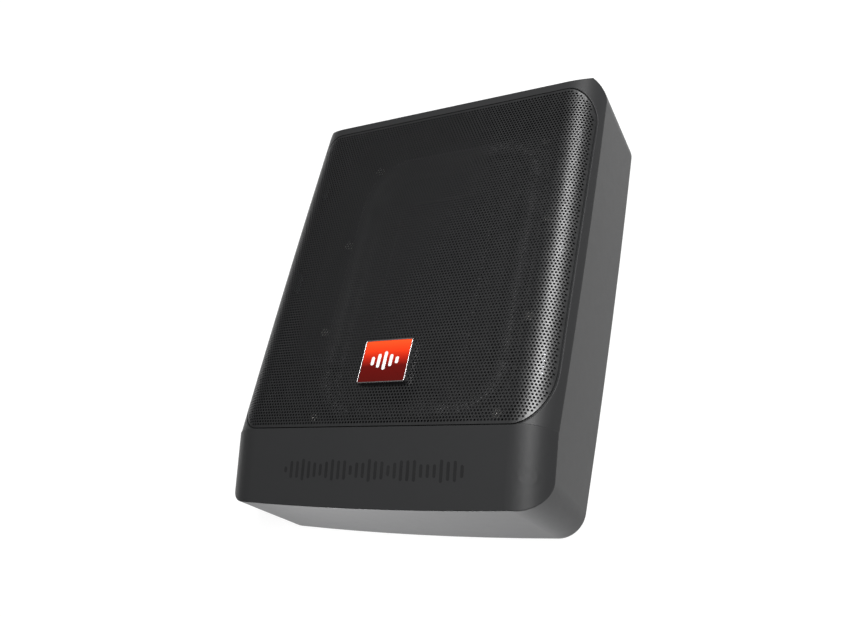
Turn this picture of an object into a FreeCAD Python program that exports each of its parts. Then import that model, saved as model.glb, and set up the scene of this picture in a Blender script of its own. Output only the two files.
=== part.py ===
import FreeCAD, Part
import math
import os

# Powered car subwoofer, a flat sealed box for under a seat.
# Millimetres. X is the width, Y the length (-Y is the end with the plain band),
# +Z points out of the grille, and z = 0 is the surface that the rubber feet stand on.

V = FreeCAD.Vector

# ---------------------------------------------------------------- driving dimensions
# Housing
WIDTH = 195.0             # widest outline, at the crease
LENGTH = 252.0
TOP_Z = 62.7              # face of the grille
CREASE_Z = 51.4           # edge between the leaning walls and the rolled top
FOOT_Z = 1.0              # underside of the housing
BASE_INSET = 3.7          # how far the walls lean in at the base
CORNER_R = 16.8           # plan corner at the crease
BASE_CORNER_R = 13.2
SIDE_BOW = 1.3            # how far a long wall bulges at its middle
END_BOW = 2.4
ROLL_R = 23.8             # radius that rolls the top down to both long sides
BAND_Y = -86.0            # where the plain band starts
BAND_SLOPE = 0.26         # fall of the band per unit of length
BAND_STEP = 0.2           # how far the band stands above the grille
REAR_RIM_Y = 118.3        # rear end of the flat top, before its sloped shoulder
WALL = 3.0

# Grille and badge
GRILLE_T = 1.2
GRILLE_HALF_W = 93.8      # in plan; the edge lies on the rolled side
GRILLE_REAR_Y = 112.8
GRILLE_GAP = 0.6
GRILLE_CORNER_REAR = (17.0, 24.0)
GRILLE_CORNER_FRONT = (17.0, 30.0)
BADGE_Y = -51.0
BADGE_W = 29.4
BADGE_L = 24.6
BADGE_T = 3.0
BADGE_RIM = 1.5
BADGE_FLOOR = 0.8         # height of the badge's plate over the grille
BADGE_PIN_X = 9.0

# Woofer
WOOFER_Y = 12.8
DECK_TOP = 37.0
DECK_T = 3.0
TRAY_HALF_W = 88.0
TRAY_FRONT_Y = -84.5
TRAY_REAR_Y = 109.5
TRAY_R = 18.0
GASKET_T = 1.2
FLANGE_T = 2.0
FLANGE_HALF = (69.0, 95.7, 33.0)      # half width, half length, corner radius
ROLL_OUT_HALF = (61.5, 88.2, 31.0)    # outer edge of the surround's roll
ROLL_WIDTH = 11.5
DIAPHRAGM_T = 1.2
PLATEAU_HALF = (33.0, 55.0, 10.0)
PLATEAU_T = 1.4
FORMER_R = 13.6
FORMER_T = 0.4
COIL_T = 0.8
TRAVEL = 4.0
LANDING_T = 0.7           # thickness of the surround
TUB_TOP = (60.4, 87.1, 30.0)          # bowl of the basket under its flange
TUB_FLOOR = (44.0, 62.0, 24.0)
TUB_T = 1.5

# Motor
BACK_PLATE_Z = 4.8
BACK_PLATE_T = 4.0
MAGNET_T = 10.0
TOP_PLATE_T = 4.2
PLATE_R = 40.0
MAGNET_R = 42.0
MAGNET_HOLE_R = 20.0
POLE_R = 12.5
GAP_R = 15.2
SPIDER_R = 35.0

# Base plate
PLATE_Z = 1.4
PLATE_T = 2.0
PLATE_INSET = 2.0         # how far the plate's edge lies inside the housing's outline
RECESS_INSET = 1.7        # the same for the recess that the plate sits in
BASE_GASKET_T = 0.8
BASE_GASKET_W = 1.6
FOOT_R = 8.0
FOOT_X = 74.0
FOOT_Y = 106.0
MOUNT_X = 100.0
MOUNT_Y = 170.0
MOUNT_R = 2.5
INSERT_R = 4.0
INSERT_FLANGE_R = 5.5
BOSS_R = 4.2
BASE_SCREWS = [(86.0, -108.0), (86.0, -40.0), (86.0, 40.0), (86.0, 102.0)]

# Screws: radius of the shank, of its clearance hole and of the head
BASE_SCREW_R = 1.3
BASE_HOLE_R = 1.7
BASE_HEAD_R = 3.1
WOOFER_SCREW_R = 1.5
WOOFER_HOLE_R = 1.8
WOOFER_HEAD_R = 2.6
BOARD_SCREW_R = 1.2
BOARD_HOLE_R = 1.6
BOARD_HEAD_R = 2.6
PANEL_SCREW_R = 0.9
PANEL_HOLE_R = 1.1
PANEL_HEAD_R = 1.7

# Connector pocket in the rear wall, and the panel at its back
POCKET_HALF_W = 75.0
POCKET_Z = (7.5, 33.0)
PANEL_Y = 113.0           # face of the panel
PANEL_T = 2.0
PANEL_WALL_Y = 108.5      # inner face of the wall that carries the panel
PANEL_OPEN_HALF_W = 71.3  # opening in that wall
PANEL_LEDGE = 2.5
PANEL_GAP = 0.3           # between the panel and the pocket
PANEL_SCREW_X = 72.8
PANEL_SCREW_RISE = 9.5    # up and down from the ports
PORT_FLOOR_Y = 101.0      # bottom of the sockets
PIN_TIP_Y = 109.0
PORT_Z = 20.5             # height of the row of ports and knobs
BOARD_Z = 10.0
BOARD_T = 1.6
BOARD_X = (-66.0, 78.0)
BOARD_Y = (60.0, 106.0)
KNOB_X = (28.5, 41.0, 53.5)
KNOB_R = 4.5
KNOB_L = 7.5
SHAFT_R = 2.0
SWITCH_X = 65.0
SWITCH_Z = (15.5, 25.5)
SWITCH_TRAVEL = 3.0
RCA_X = (3.5, 16.5)
RCA_R = 4.15
FUSE_X = -29.0
POWER_X = -54.5
REMOTE_X = -11.5
LIGHT_R = 1.25
LIGHT_RISE = 8.6          # up from the ports

HALF_W = WIDTH / 2
HALF_L = LENGTH / 2
ROLL_Z = TOP_Z - ROLL_R
ROLL_X = HALF_W - math.sqrt(ROLL_R ** 2 - (CREASE_Z - ROLL_Z) ** 2)
DECK_Z = DECK_TOP - DECK_T
FLANGE_Z = DECK_TOP + GASKET_T
FLANGE_TOP = FLANGE_Z + FLANGE_T
MAGNET_Z = BACK_PLATE_Z + BACK_PLATE_T
TOP_PLATE_Z = MAGNET_Z + MAGNET_T
BASKET_Z = TOP_PLATE_Z + TOP_PLATE_T
PLATE_TOP = PLATE_Z + PLATE_T
LEDGE_Z = PLATE_TOP + BASE_GASKET_T
BOARD_TOP = BOARD_Z + BOARD_T
FAR = 300.0               # longer than the whole box, for cutting tools


# ---------------------------------------------------------------- plain helpers
def box(x0, x1, y0, y1, z0, z1):
    return Part.makeBox(x1 - x0, y1 - y0, z1 - z0, V(x0, y0, z0))


def rod(radius, length, base, axis=V(0, 0, 1)):
    return Part.makeCylinder(radius, length, base, axis)


def tube(outer, inner, length, base, axis=V(0, 0, 1)):
    return rod(outer, length, base, axis).cut(rod(inner, length, base, axis))


def fuse_all(shapes):
    return shapes[0].multiFuse(shapes[1:]).removeSplitter() if len(shapes) > 1 else shapes[0]


def rounded_wire(half_x, half_y, radius, z, centre=(0.0, 0.0)):
    """A rectangle with four round corners, as one closed wire."""
    cx, cy = centre
    edges = []
    corners = [(1, 1, 0), (-1, 1, 90), (-1, -1, 180), (1, -1, 270)]
    points = []
    for sx, sy, start in corners:
        mid = V(cx + sx * (half_x - radius), cy + sy * (half_y - radius), z)
        turn = [math.radians(start + step) for step in (0, 45, 90)]
        arc = [mid + V(radius * math.cos(t), radius * math.sin(t), 0) for t in turn]
        points.append(arc)
    for index, arc in enumerate(points):
        edges.append(Part.Arc(*arc).toShape())
        following = points[(index + 1) % 4]
        edges.append(Part.LineSegment(arc[2], following[0]).toShape())
    return Part.Wire(edges)


def rounded_prism(half_x, half_y, radius, z0, z1, centre=(0.0, 0.0)):
    face = Part.Face(rounded_wire(half_x, half_y, radius, z0, centre))
    return face.extrude(V(0, 0, z1 - z0))


def racetrack(size, z0, z1, grow=0.0):
    """A prism on the woofer's centre; size is half width, half length, corner radius."""
    half_x, half_y, radius = size
    return rounded_prism(half_x + grow, half_y + grow, radius + grow, z0, z1, (0.0, WOOFER_Y))


# ---------------------------------------------------------------- the outer form
def bowed_wire(half_w, half_l, radius, z):
    """The plan outline: four slightly bowed sides joined by tangent corner arcs."""
    side_r = (half_l ** 2 + SIDE_BOW ** 2) / (2 * SIDE_BOW)
    end_r = (half_w ** 2 + END_BOW ** 2) / (2 * END_BOW)
    side_c = half_w - side_r
    end_c = half_l - end_r
    cx = half_w - radius
    cy = half_l - radius
    for _ in range(30):
        cx = side_c + math.sqrt((side_r - radius) ** 2 - cy ** 2)
        cy = end_c + math.sqrt((end_r - radius) ** 2 - cx ** 2)
    side_turn = math.atan2(cy, cx - side_c)
    end_turn = math.atan2(cy - end_c, cx)
    on_side = V(side_c + side_r * math.cos(side_turn), side_r * math.sin(side_turn), z)
    on_end = V(end_r * math.cos(end_turn), end_c + end_r * math.sin(end_turn), z)
    middle = (side_turn + end_turn) / 2
    on_corner = V(cx + radius * math.cos(middle), cy + radius * math.sin(middle), z)

    def flip(point, sx, sy):
        return V(point.x * sx, point.y * sy, z)

    right = V(half_w, 0, z)
    rear = V(0, half_l, z)
    arcs = [
        (flip(on_side, 1, -1), right, on_side),
        (on_side, on_corner, on_end),
        (on_end, rear, flip(on_end, -1, 1)),
        (flip(on_end, -1, 1), flip(on_corner, -1, 1), flip(on_side, -1, 1)),
        (flip(on_side, -1, 1), flip(right, -1, 1), flip(on_side, -1, -1)),
        (flip(on_side, -1, -1), flip(on_corner, -1, -1), flip(on_end, -1, -1)),
        (flip(on_end, -1, -1), flip(rear, 1, -1), flip(on_end, 1, -1)),
        (flip(on_end, 1, -1), flip(on_corner, 1, -1), flip(on_side, 1, -1)),
    ]
    return Part.Wire([Part.Arc(*arc).toShape() for arc in arcs])


def plan_wire(inset, z):
    """The wall's outline at a height, moved inwards by inset."""
    lean = BASE_INSET * max(0.0, CREASE_Z - z) / (CREASE_Z - FOOT_Z)
    soft = CORNER_R - (CORNER_R - BASE_CORNER_R) * lean / BASE_INSET
    return bowed_wire(HALF_W - lean - inset, HALF_L - lean - inset, soft - inset, z)


def walls(inset, z0):
    lower = Part.makeLoft([plan_wire(inset, z0), plan_wire(inset, CREASE_Z)], True, True)
    upper = Part.Face(plan_wire(inset, CREASE_Z)).extrude(V(0, 0, TOP_Z + 5 - CREASE_Z))
    return lower.fuse(upper)


def roll_face(inset, y, shift_x, drop):
    """Section of the top with one rolled side, standing in an XZ plane."""
    radius = ROLL_R - inset
    mid = V(ROLL_X + shift_x, y, ROLL_Z - drop)
    side = mid + V(radius, 0, 0)
    crown = mid + V(0, 0, radius)
    diagonal = mid + V(radius * math.sin(math.pi / 4), 0, radius * math.cos(math.pi / 4))
    low = V(side.x, y, -FAR)
    far_low = V(-FAR, y, -FAR)
    far_top = V(-FAR, y, crown.z)
    edges = [
        Part.LineSegment(far_low, low).toShape(),
        Part.LineSegment(low, side).toShape(),
        Part.Arc(side, diagonal, crown).toShape(),
        Part.LineSegment(crown, far_top).toShape(),
        Part.LineSegment(far_top, far_low).toShape(),
    ]
    return Part.Face(Part.Wire(edges))


def rolled_side(inset):
    """The top and one rolled side: bowed along the grille, falling along the band."""
    side_r = (HALF_L ** 2 + SIDE_BOW ** 2) / (2 * SIDE_BOW)
    axis_x = HALF_W - side_r
    half_turn = math.degrees(math.asin((HALF_L + 10) / side_r))
    section = roll_face(inset, 0, 0, 0)
    section.rotate(V(axis_x, 0, 0), V(0, 0, 1), -half_turn)
    grille_part = section.revolve(V(axis_x, 0, 0), V(0, 0, 1), 2 * half_turn)
    grille_part = grille_part.common(box(-FAR, FAR, BAND_Y, FAR, -FAR, FAR))
    band_bow = side_r - math.sqrt(side_r ** 2 - BAND_Y ** 2)
    end_bow = SIDE_BOW * ((HALF_L + 10) / HALF_L) ** 2
    run = HALF_L + 10 + BAND_Y
    front = roll_face(inset, BAND_Y, BAND_STEP - band_bow, -BAND_STEP)
    band_part = front.extrude(V(band_bow - end_bow, -run, -BAND_SLOPE * run))
    return grille_part.fuse(band_part)


def rear_shoulder(inset):
    """Everything in front of and under the sloped shoulder at the rear end."""
    run = HALF_L - REAR_RIM_Y
    fall = TOP_Z - CREASE_Z
    slant = math.hypot(run, fall)
    shift_y = -inset * fall / slant
    shift_z = -inset * run / slant
    low = V(0, HALF_L + shift_y + run, CREASE_Z + shift_z - fall)
    high = V(0, REAR_RIM_Y + shift_y - run, TOP_Z + shift_z + fall)
    points = [V(0, low.y, -FAR), low, high, V(0, -FAR, high.z), V(0, -FAR, -FAR)]
    points = [V(-FAR, p.y, p.z) for p in points]
    return Part.Face(Part.makePolygon(points + [points[0]])).extrude(V(2 * FAR, 0, 0))


def form(inset, z0=FOOT_Z):
    """The whole outer form, moved inwards by inset on every side but the base."""
    right = rolled_side(inset)
    left = right.mirror(V(0, 0, 0), V(1, 0, 0))
    solid = walls(inset, z0).common(right).common(left)
    return solid.common(rear_shoulder(inset))


# ---------------------------------------------------------------- grille outline
def grille_prism(grow, front_grow):
    """Upright prism on the grille's plan outline, whose corners are elliptic."""
    half_w = GRILLE_HALF_W + grow
    rear = GRILLE_REAR_Y + grow
    front = BAND_Y - front_grow
    rear_x, rear_y = GRILLE_CORNER_REAR
    front_x, front_y = GRILLE_CORNER_FRONT

    def quarter(cx, cy, ax, ay, start):
        turns = [math.radians(start + 15 * step) for step in range(7)]
        points = [V(cx + ax * math.cos(t), cy + ay * math.sin(t), 0) for t in turns]
        curve = Part.BSplineCurve()
        curve.interpolate(points)
        return curve.toShape(), points[0], points[-1]

    corners = [
        quarter(half_w - rear_x, rear - rear_y, rear_x, rear_y, 0),
        quarter(rear_x - half_w, rear - rear_y, rear_x, rear_y, 90),
        quarter(front_x - half_w, front + front_y, front_x, front_y, 180),
        quarter(half_w - front_x, front + front_y, front_x, front_y, 270),
    ]
    edges = []
    for index, (curve, _, last) in enumerate(corners):
        first_of_next = corners[(index + 1) % 4][1]
        edges.append(curve)
        edges.append(Part.LineSegment(last, first_of_next).toShape())
    return Part.Face(Part.Wire(edges)).extrude(V(0, 0, FAR))


OUTER = form(0.0)
UNDER_GRILLE = form(GRILLE_T)


# ---------------------------------------------------------------- housing and base
def leaning_prism(inset, z0, z1):
    """A prism that follows the leaning walls, inset from them."""
    return Part.makeLoft([plan_wire(inset, z0), plan_wire(inset, z1)], True, True)


def screw_places():
    return [(sx * x, y) for x, y in BASE_SCREWS for sx in (-1, 1)]


def housing_shell():
    inner = form(WALL, FOOT_Z - 1)
    below_deck = inner.common(box(-FAR, FAR, -FAR, FAR, -1, DECK_Z))
    under_band = inner.common(box(-FAR, FAR, -FAR, BAND_Y - WALL, -1, FAR))
    shell = OUTER.cut(below_deck.fuse(under_band))
    bosses = [rod(BOSS_R, FAR, V(x, y, PLATE_TOP)) for x, y in screw_places()]
    pocket = box(-POCKET_HALF_W - WALL, POCKET_HALF_W + WALL, PANEL_WALL_Y, HALF_L + 10, LEDGE_Z, DECK_TOP)
    shell = fuse_all([shell, pocket.common(OUTER)] + [boss.common(OUTER) for boss in bosses])
    tray_y = (TRAY_REAR_Y + TRAY_FRONT_Y) / 2
    tray_half = (TRAY_REAR_Y - TRAY_FRONT_Y) / 2
    tray = rounded_prism(TRAY_HALF_W, tray_half, TRAY_R, DECK_TOP, FAR, (0.0, tray_y))
    shell = shell.cut(tray)
    above_crease = box(-FAR, FAR, -FAR, FAR, CREASE_Z, FAR)
    rabbet = grille_prism(GRILLE_GAP, GRILLE_GAP).cut(UNDER_GRILLE).common(above_crease)
    shell = shell.cut(rabbet)
    shell = shell.cut(racetrack(ROLL_OUT_HALF, DECK_Z - 1, DECK_TOP + 1))
    z0, z1 = POCKET_Z
    shell = shell.cut(box(-POCKET_HALF_W, POCKET_HALF_W, PANEL_Y - PANEL_T, FAR, z0, z1))
    low, high = z0 + PANEL_LEDGE, z1 - PANEL_LEDGE
    shell = shell.cut(box(-PANEL_OPEN_HALF_W, PANEL_OPEN_HALF_W, PANEL_WALL_Y - 1, PANEL_Y, low, high))
    recess = leaning_prism(RECESS_INSET, FOOT_Z - 1, LEDGE_Z)
    bosses_kept = [rod(BOSS_R, 1.0, V(x, y, PLATE_TOP)) for x, y in screw_places()]
    shell = shell.cut(recess).fuse(bosses_kept)
    for x, y in screw_places():
        shell = shell.cut(rod(BASE_SCREW_R, 14.0, V(x, y, PLATE_TOP - 1)))
    for x, y in woofer_screw_places():
        shell = shell.cut(rod(WOOFER_SCREW_R, DECK_T + 2, V(x, y, DECK_Z - 1)))
    for x, z in panel_screw_places():
        shell = shell.cut(rod(PANEL_SCREW_R, 6.0, V(x, PANEL_WALL_Y - 1, z), V(0, 1, 0)))
    return shell.removeSplitter()


def base_plate():
    plate = leaning_prism(PLATE_INSET, PLATE_Z, PLATE_TOP)
    for x, y in screw_places():
        plate = plate.cut(rod(BASE_HOLE_R, PLATE_T + 2, V(x, y, PLATE_Z - 1)))
        plate = plate.cut(Part.makeCone(BASE_HEAD_R + 0.1, BASE_HOLE_R, 1.5, V(x, y, PLATE_Z)))
    for x, y in mount_places():
        plate = plate.cut(rod(INSERT_R, PLATE_T + 2, V(x, y, PLATE_Z - 1)))
    return plate


def base_gasket():
    outer = leaning_prism(PLATE_INSET, PLATE_TOP, LEDGE_Z)
    inner = leaning_prism(PLATE_INSET + BASE_GASKET_W, PLATE_TOP, LEDGE_Z)
    ring = outer.cut(inner)
    for x, y in screw_places():
        ring = ring.cut(rod(BOSS_R + 0.2, 4.0, V(x, y, PLATE_TOP - 1)))
    return ring


def rubber_feet():
    places = [V(sx * FOOT_X, sy * FOOT_Y, 0) for sx in (-1, 1) for sy in (-1, 1)]
    return Part.makeCompound([rod(FOOT_R, PLATE_Z, place) for place in places])


def base_screws():
    screws = []
    for x, y in screw_places():
        head = Part.makeCone(BASE_HEAD_R, BASE_HEAD_R / 2, 1.5, V(x, y, PLATE_Z + 0.02))
        screws.append(head.fuse(rod(BASE_SCREW_R, 12.0, V(x, y, PLATE_Z + 0.5))))
    return Part.makeCompound(screws)


def mount_places():
    return [(sx * MOUNT_X / 2, sy * MOUNT_Y / 2) for sx in (-1, 1) for sy in (-1, 1)]


def mounting_inserts():
    inserts = []
    for x, y in mount_places():
        body = rod(INSERT_R, 7.0, V(x, y, PLATE_Z)).fuse(rod(INSERT_FLANGE_R, 1.0, V(x, y, PLATE_TOP)))
        inserts.append(body.cut(rod(MOUNT_R, 9.0, V(x, y, PLATE_Z - 1))))
    return Part.makeCompound(inserts)


# ---------------------------------------------------------------- grille and badge
def grille():
    above_crease = box(-FAR, FAR, -FAR, FAR, CREASE_Z, FAR)
    sheet = OUTER.cut(UNDER_GRILLE).common(grille_prism(0.0, 0.0)).common(above_crease)
    for x in (-BADGE_PIN_X, BADGE_PIN_X):
        sheet = sheet.cut(rod(1.2, 10.0, V(x, BADGE_Y, TOP_Z - 5)))
    return sheet


def grille_clips():
    clips = []
    for y in (-55.0, 12.0, 80.0):
        for sx in (-1, 1):
            x0, x1 = sorted((sx * (TRAY_HALF_W - 1.2), sx * (TRAY_HALF_W - 0.1)))
            tab = box(x0, x1, y - 6, y + 6, 50.0, FAR).common(UNDER_GRILLE)
            clips.append(tab)
    return Part.makeCompound(clips)


def badge_frame():
    half_w = BADGE_W / 2
    half_l = BADGE_L / 2
    centre = (0.0, BADGE_Y)
    floor = TOP_Z + BADGE_FLOOR
    outer = rounded_prism(half_w, half_l, 1.0, TOP_Z, TOP_Z + BADGE_T, centre)
    inner = rounded_prism(half_w - BADGE_RIM, half_l - BADGE_RIM, 0.5, floor, FAR, centre)
    pins = [rod(1.1, 4.2, V(x, BADGE_Y, TOP_Z - 4)) for x in (-BADGE_PIN_X, BADGE_PIN_X)]
    return fuse_all([outer.cut(inner)] + pins)


def badge_plate():
    inset = BADGE_RIM + 0.05
    floor = TOP_Z + BADGE_FLOOR
    return rounded_prism(BADGE_W / 2 - inset, BADGE_L / 2 - inset, 0.5, floor, floor + 1.1, (0.0, BADGE_Y))


# ---------------------------------------------------------------- woofer
def woofer_screw_places():
    half_x, half_y, radius = FLANGE_HALF
    inset = 2.9
    diagonal = (radius - inset) * math.sin(math.pi / 4)
    corner = (half_x - radius + diagonal, half_y - radius + diagonal)
    places = [(sx * corner[0], WOOFER_Y + sy * corner[1]) for sx in (-1, 1) for sy in (-1, 1)]
    places += [(sx * (half_x - inset), WOOFER_Y + y) for sx in (-1, 1) for y in (-30.0, 30.0)]
    return places


def woofer_gasket():
    ring = racetrack(FLANGE_HALF, DECK_TOP, FLANGE_Z)
    ring = ring.cut(racetrack(ROLL_OUT_HALF, DECK_TOP - 1, FLANGE_Z + 1))
    for x, y in woofer_screw_places():
        ring = ring.cut(rod(WOOFER_HOLE_R, 5.0, V(x, y, DECK_TOP - 1)))
    return ring


def tub(grow, z0, z1):
    """Leaning bowl of the basket between its floor and its flange."""
    wires = []
    for (half_x, half_y, radius), z in ((TUB_FLOOR, z0), (TUB_TOP, z1)):
        wires.append(rounded_wire(half_x + grow, half_y + grow, radius + grow, z, (0.0, WOOFER_Y)))
    return Part.makeLoft(wires, True, True)


def woofer_basket():
    flange = racetrack(FLANGE_HALF, FLANGE_Z, FLANGE_TOP)
    flange = flange.cut(racetrack(ROLL_OUT_HALF, FLANGE_Z - 1, FLANGE_TOP + 1, -3.4))
    bowl = tub(0.0, BASKET_Z, FLANGE_Z).cut(tub(-TUB_T, BASKET_Z + TUB_T, FLANGE_Z + 0.001))
    shelf = tube(SPIDER_R + 1, SPIDER_R - 4, 3.0, V(0, WOOFER_Y, BASKET_Z + 1.4))
    basket = fuse_all([flange, bowl, shelf])
    basket = basket.cut(rod(17.0, 9.0, V(0, WOOFER_Y, BASKET_Z - 2)))
    low = BASKET_Z + 4
    high = FLANGE_Z - 3
    for y in (WOOFER_Y - 38.0, WOOFER_Y, WOOFER_Y + 38.0):
        for x0, x1 in ((-FAR, -40), (40, FAR)):
            basket = basket.cut(box(x0, x1, y - 13, y + 13, low, high))
    for x in (-17.0, 17.0):
        for y0, y1 in ((WOOFER_Y + 58, FAR), (-FAR, WOOFER_Y - 58)):
            basket = basket.cut(box(x - 12, x + 12, y0, y1, low, high))
    for x, y in woofer_screw_places():
        basket = basket.cut(rod(WOOFER_HOLE_R, 5.0, V(x, y, FLANGE_Z - 1)))
    return basket


def woofer_screws():
    screws = []
    for x, y in woofer_screw_places():
        head = rod(WOOFER_HEAD_R, 1.6, V(x, y, FLANGE_TOP))
        shank = rod(WOOFER_SCREW_R, 6.4, V(x, y, FLANGE_TOP - 6.2))
        socket = rod(1.2, 1.0, V(x, y, FLANGE_TOP + 0.8))
        screws.append(head.fuse(shank).cut(socket))
    return Part.makeCompound(screws)


def surround():
    """Half-round rubber roll between the basket's flange and the diaphragm."""
    half_x, half_y, radius = ROLL_OUT_HALF
    reach = ROLL_WIDTH / 2
    thick = LANDING_T
    landing = 4.0         # flat part on the diaphragm
    lip = 1.7             # flat part on the flange
    path = rounded_wire(half_x - reach, half_y - reach, radius - reach, FLANGE_TOP, (0.0, WOOFER_Y))
    start = path.Vertexes[0].Point
    z = FLANGE_TOP
    x = start.x

    def at(dx, dz):
        return V(x + dx, start.y, z + dz)

    outer_r = reach
    inner_r = reach - thick
    edges = [
        Part.Arc(at(outer_r, thick), at(0, thick + outer_r), at(-outer_r, thick)).toShape(),
        Part.LineSegment(at(-outer_r, thick), at(-outer_r - landing, thick)).toShape(),
        Part.LineSegment(at(-outer_r - landing, thick), at(-outer_r - landing, 0)).toShape(),
        Part.LineSegment(at(-outer_r - landing, 0), at(-inner_r, 0)).toShape(),
        Part.LineSegment(at(-inner_r, 0), at(-inner_r, thick)).toShape(),
        Part.Arc(at(-inner_r, thick), at(0, thick + inner_r), at(inner_r, thick)).toShape(),
        Part.LineSegment(at(inner_r, thick), at(inner_r, 0)).toShape(),
        Part.LineSegment(at(inner_r, 0), at(outer_r + lip, 0)).toShape(),
        Part.LineSegment(at(outer_r + lip, 0), at(outer_r + lip, thick)).toShape(),
        Part.LineSegment(at(outer_r + lip, thick), at(outer_r, thick)).toShape(),
    ]
    shell = Part.Wire(path).makePipeShell([Part.Wire(edges)], True, True)
    return shell if shell.ShapeType == "Solid" else Part.Solid(shell)


def diaphragm():
    plate = racetrack(ROLL_OUT_HALF, FLANGE_TOP - DIAPHRAGM_T, FLANGE_TOP, -ROLL_WIDTH + 0.5)
    inner = FORMER_R + FORMER_T
    ring = tube(inner + 2.5, inner, 4.0, V(0, WOOFER_Y, FLANGE_TOP - DIAPHRAGM_T - 4.0))
    return plate.fuse(ring)


def diaphragm_plate():
    half_x, half_y, radius = PLATEAU_HALF
    low = rounded_wire(half_x, half_y, radius, FLANGE_TOP, (0.0, WOOFER_Y))
    high = rounded_wire(half_x - 1.5, half_y - 1.5, radius - 1.5, FLANGE_TOP + PLATEAU_T, (0.0, WOOFER_Y))
    return Part.makeLoft([low, high], True, True)


def coil_former():
    low = MAGNET_Z + TRAVEL + 0.9
    high = FLANGE_TOP - DIAPHRAGM_T
    return tube(FORMER_R + FORMER_T, FORMER_R, high - low, V(0, WOOFER_Y, low))


def voice_coil():
    inner = FORMER_R + FORMER_T
    return tube(inner + COIL_T, inner, 11.0, V(0, WOOFER_Y, TOP_PLATE_Z + TOP_PLATE_T / 2 - 5.5))


def spider():
    """Corrugated cloth disc that centres the voice coil."""
    inner = FORMER_R + FORMER_T
    z = BASKET_Z + 4.4
    points = [V(inner, 0, z)]
    waves = 4
    steps = 4 * waves
    for step in range(1, steps):
        turn = 2 * math.pi * step / 4
        radius = inner + (SPIDER_R - 4 - inner) * step / steps
        points.append(V(radius, 0, z + 0.9 * abs(math.sin(turn / 2)) + 0.05))
    points.append(V(SPIDER_R - 4, 0, z))
    points.append(V(SPIDER_R + 1, 0, z))
    lower = [V(p.x, 0, p.z) for p in points]
    upper = [V(p.x, 0, p.z + 0.5) for p in reversed(points)]
    outline = Part.makePolygon(lower + upper + [lower[0]])
    disc = Part.Face(outline).revolve(V(0, 0, 0), V(0, 0, 1), 360)
    disc.translate(V(0, WOOFER_Y, 0))
    return disc


def motor_back_plate():
    plate = rod(PLATE_R, BACK_PLATE_T, V(0, WOOFER_Y, BACK_PLATE_Z))
    pole = rod(POLE_R, BASKET_Z - MAGNET_Z, V(0, WOOFER_Y, MAGNET_Z))
    vent = rod(4.0, FAR, V(0, WOOFER_Y, 0))
    return plate.fuse(pole).cut(vent).removeSplitter()


def motor_magnet():
    return tube(MAGNET_R, MAGNET_HOLE_R, MAGNET_T, V(0, WOOFER_Y, MAGNET_Z))


def motor_top_plate():
    return tube(PLATE_R, GAP_R, TOP_PLATE_T, V(0, WOOFER_Y, TOP_PLATE_Z))


def woofer_terminal():
    floor = BASKET_Z + TUB_T
    y = WOOFER_Y - 46.0
    strip = box(-11, 11, y - 1.2, y + 1.2, floor, floor + 8)
    tabs = [box(x - 2.4, x + 2.4, y - 7.0, y - 1.2, floor + 4, floor + 4.8) for x in (-6.0, 6.0)]
    return fuse_all([strip] + tabs)


# ---------------------------------------------------------------- amplifier
def amplifier_board():
    board = box(*BOARD_X, *BOARD_Y, BOARD_Z, BOARD_TOP)
    for x, y in board_screw_places():
        board = board.cut(rod(BOARD_HOLE_R, 6.0, V(x, y, BOARD_Z - 2)))
    return board


def board_screw_places():
    return [(x, y) for y in (65.0, 95.0) for x in (BOARD_X[0] + 5.0, BOARD_X[1] - 5.0)]


def board_standoffs():
    posts = []
    for x, y in board_screw_places():
        posts.append(tube(3.0, BOARD_SCREW_R, BOARD_Z - PLATE_TOP, V(x, y, PLATE_TOP)))
    return Part.makeCompound(posts)


def board_screws():
    screws = []
    for x, y in board_screw_places():
        head = rod(BOARD_HEAD_R, 1.6, V(x, y, BOARD_TOP))
        screws.append(head.fuse(rod(BOARD_SCREW_R, 6.0, V(x, y, BOARD_TOP - 5.5))))
    return Part.makeCompound(screws)


def filter_capacitors():
    return Part.makeCompound([rod(5.0, 13.0, V(x, 91.0, BOARD_TOP)) for x in (-22.0, -9.0, 4.0, 17.0)])


def toroid_inductors():
    rings = []
    for x in (34.0, 56.0):
        torus = Part.makeTorus(6.0, 3.4, V(x, 74, BOARD_TOP + 3.4))
        rings.append(torus)
    return Part.makeCompound(rings)


def amplifier_chips():
    large = box(-8, 6, 66, 80, BOARD_TOP, BOARD_TOP + 2.0)
    small = box(-34, -24, 66, 76, BOARD_TOP, BOARD_TOP + 1.6)
    return Part.makeCompound([large, small])


def heat_sink_bar():
    return box(-77, -70, 62, 98, PLATE_TOP, 25.0)


def power_transistors():
    packs = []
    for y in (66.5, 76.5, 86.5):
        packs.append(box(-70, -67, y - 4.5, y + 4.5, BOARD_TOP + 1, BOARD_TOP + 12))
    return Part.makeCompound(packs)


# ---------------------------------------------------------------- rear panel and its ports
def panel_screw_places():
    return [(sx * PANEL_SCREW_X, PORT_Z + sz * PANEL_SCREW_RISE) for sx in (-1, 1) for sz in (-1, 1)]


def power_shroud_box(grow, y0, y1):
    return box(POWER_X - 15 - grow, POWER_X + 12 + grow, y0, y1, PORT_Z - 7 - grow, PORT_Z + 7 + grow)


def remote_box(grow, y0, y1):
    return box(REMOTE_X - 5 - grow, REMOTE_X + 5 + grow, y0, y1, PORT_Z - 4.2 - grow, PORT_Z + 4.2 + grow)


def fuse_box(grow, y0, y1):
    return box(FUSE_X - 5.8 - grow, FUSE_X + 5.8 + grow, y0, y1, PORT_Z - 2.4 - grow, PORT_Z + 2.4 + grow)


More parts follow.
